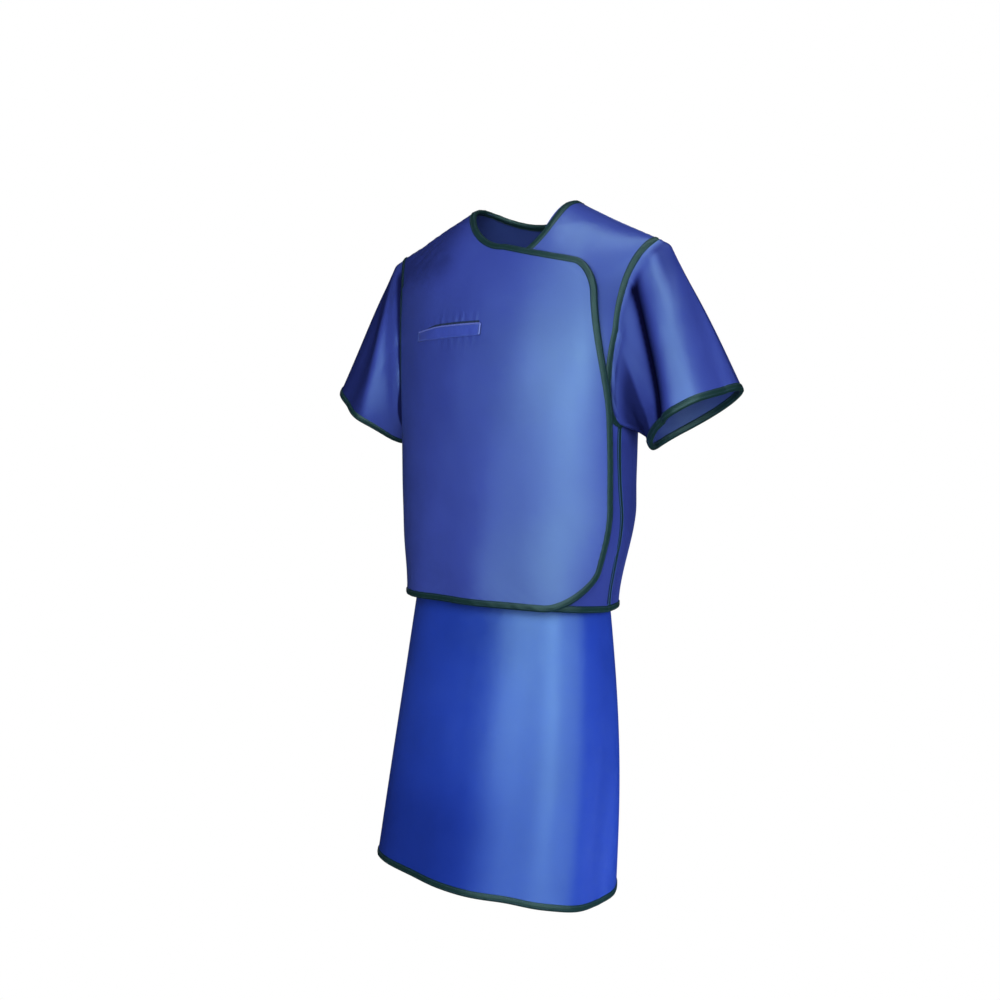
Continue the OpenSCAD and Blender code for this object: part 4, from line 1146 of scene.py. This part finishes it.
bag = slab("pocketBag", spots + ups * 2.4, spots + ups * 3.1, bagAndMouthShadowCloth, cutMap(spots))
place(bag, "wrap", "lining_cloth", "pocket_bag")
print("stage: closures and pocket")

# Top-stitching beside the shoulder seams
for name, panelName, first, last in (("leftShoulderStitch", "leftFront", leftNeck + 5, leftLast - 6),
                                     ("rightShoulderStitch", "wrapFront", 6, wrapNeck - 5),
                                     ("backLeftShoulderStitch", "vestBack", 4, backNeck[0] - 3),
                                     ("backRightShoulderStitch", "vestBack", backNeck[1] + 4, backLast - 3)):
    line = resampled(gridPath(panelName, rowLast, np.arange(first, last)), 3.4)
    tangent, inward = pathFrames(line, -1)
    spots, ups = split([onPanel(panelName, q) for q in line["points"] + inward * 5])
    sew(name, spots + ups * (outside + 0.08), tangent, ups, stitch["shoulder"], blueThread, "vest",
        "cover_cloth")

# Camera, light and a plain pale stage: turn and rise in degrees, distances in metres
def wayTo(turn, rise):
    a, e = math.radians(turn), math.radians(rise)
    return Vector((math.sin(a) * math.cos(e), -math.cos(a) * math.cos(e), math.sin(e)))


view = {"turn": 35, "rise": 5.3, "far": 1.8345, "target": (-0.0208, -0.0146, -0.0018), "lens": 42.9}
camera = bpy.data.objects.new("camera", bpy.data.cameras.new("camera"))
bpy.context.scene.collection.objects.link(camera)
bpy.context.scene.camera = camera
backward = wayTo(view["turn"], view["rise"])
camera.location = Vector(view["target"]) + backward * view["far"]
camera.rotation_mode = "QUATERNION"
camera.rotation_quaternion = (-backward).to_track_quat("-Z", "Y")
camera.data.sensor_width = 36
camera.data.lens = view["lens"]
camera.data.clip_end = 50


def softLight(name, turn, rise, far, size, power, colour, shine=True):
    light = bpy.data.lights.new(name, "AREA")
    light.shape = "RECTANGLE"
    light.size, light.size_y = size
    light.energy = power
    light.color = colour
    obj = bpy.data.objects.new(name, light)
    bpy.context.scene.collection.objects.link(obj)
    way = wayTo(turn, rise)
    obj.location = way * far + Vector((0, 0, -0.05))
    obj.rotation_euler = (-way).to_track_quat("-Z", "Y").to_euler()
    obj.visible_glossy = shine


softLight("keyLight", 33, 12, 2.7, (3.2, 2.5), 126, (0.91, 0.96, 1.0))
softLight("sleeveLight", 20, 33, 2.4, (0.6, 0.8), 8, (0.95, 0.97, 1.0))
softLight("shoulderLight", 62, 72, 2.2, (0.7, 0.7), 20, (0.95, 0.98, 1.0))
softLight("skirtLight", 112, -36, 0.95, (0.25, 0.6), 7, (0.9, 0.96, 1.0), False)
softLight("backLight", 212, 16, 2.8, (2.6, 2.2), 50, (0.95, 0.97, 1.0), False)

glow = {"plain": ((0.8, 0.9, 1.0), 0.06), "dim": ((0.5, 0.6, 0.8), 0.05), "white": ((1, 1, 1), 1.0)}


def glowing(tree, kind, name):
    colour, power = glow[name]
    return node(tree, kind, Color=(*colour, 1), Strength=power).outputs[0]


# White to the camera, dim to glossy rays, so that the cloth keeps its dark gloss
def seenAs(tree, plain, dim, white):
    rays, shown = node(tree, "ShaderNodeLightPath").outputs, plain
    for ray, other in (("Is Glossy Ray", dim), ("Is Camera Ray", white)):
        chosen = node(tree, "ShaderNodeMixShader")
        tree.links.new(rays[ray], chosen.inputs["Fac"])
        tree.links.new(shown, chosen.inputs[1])
        tree.links.new(other, chosen.inputs[2])
        shown = chosen.outputs["Shader"]
    return shown


world = bpy.data.worlds.new("studio")
bpy.context.scene.world = world
world.use_nodes = True
tree = world.node_tree
tree.nodes.clear()
air = [glowing(tree, "ShaderNodeBackground", name) for name in ("plain", "dim", "white")]
tree.links.new(seenAs(tree, *air), node(tree, "ShaderNodeOutputWorld").inputs["Surface"])

floorSize = {"half": 6000, "height": -1080}
floorMaterial, tree, shader = shaderTree("paleFloor")
shader.inputs["Base Color"].default_value = (0.8, 0.8, 0.8, 1)
shader.inputs["Roughness"].default_value = 0.9
plainGlow = [glowing(tree, "ShaderNodeEmission", name) for name in ("dim", "white")]
shown = seenAs(tree, shader.outputs["BSDF"], *plainGlow)
tree.links.new(shown, tree.nodes["Material Output"].inputs["Surface"])
floorCorners = [(x * floorSize["half"], y * floorSize["half"], floorSize["height"])
                for x, y in ((-1, -1), (1, -1), (1, 1), (-1, 1))]
buildMesh("floor", np.array(floorCorners, float), np.array([[0, 1, 2, 3]]), floorMaterial)
bpy.context.scene.view_settings.view_transform = "Standard"
print("stage: camera and light")
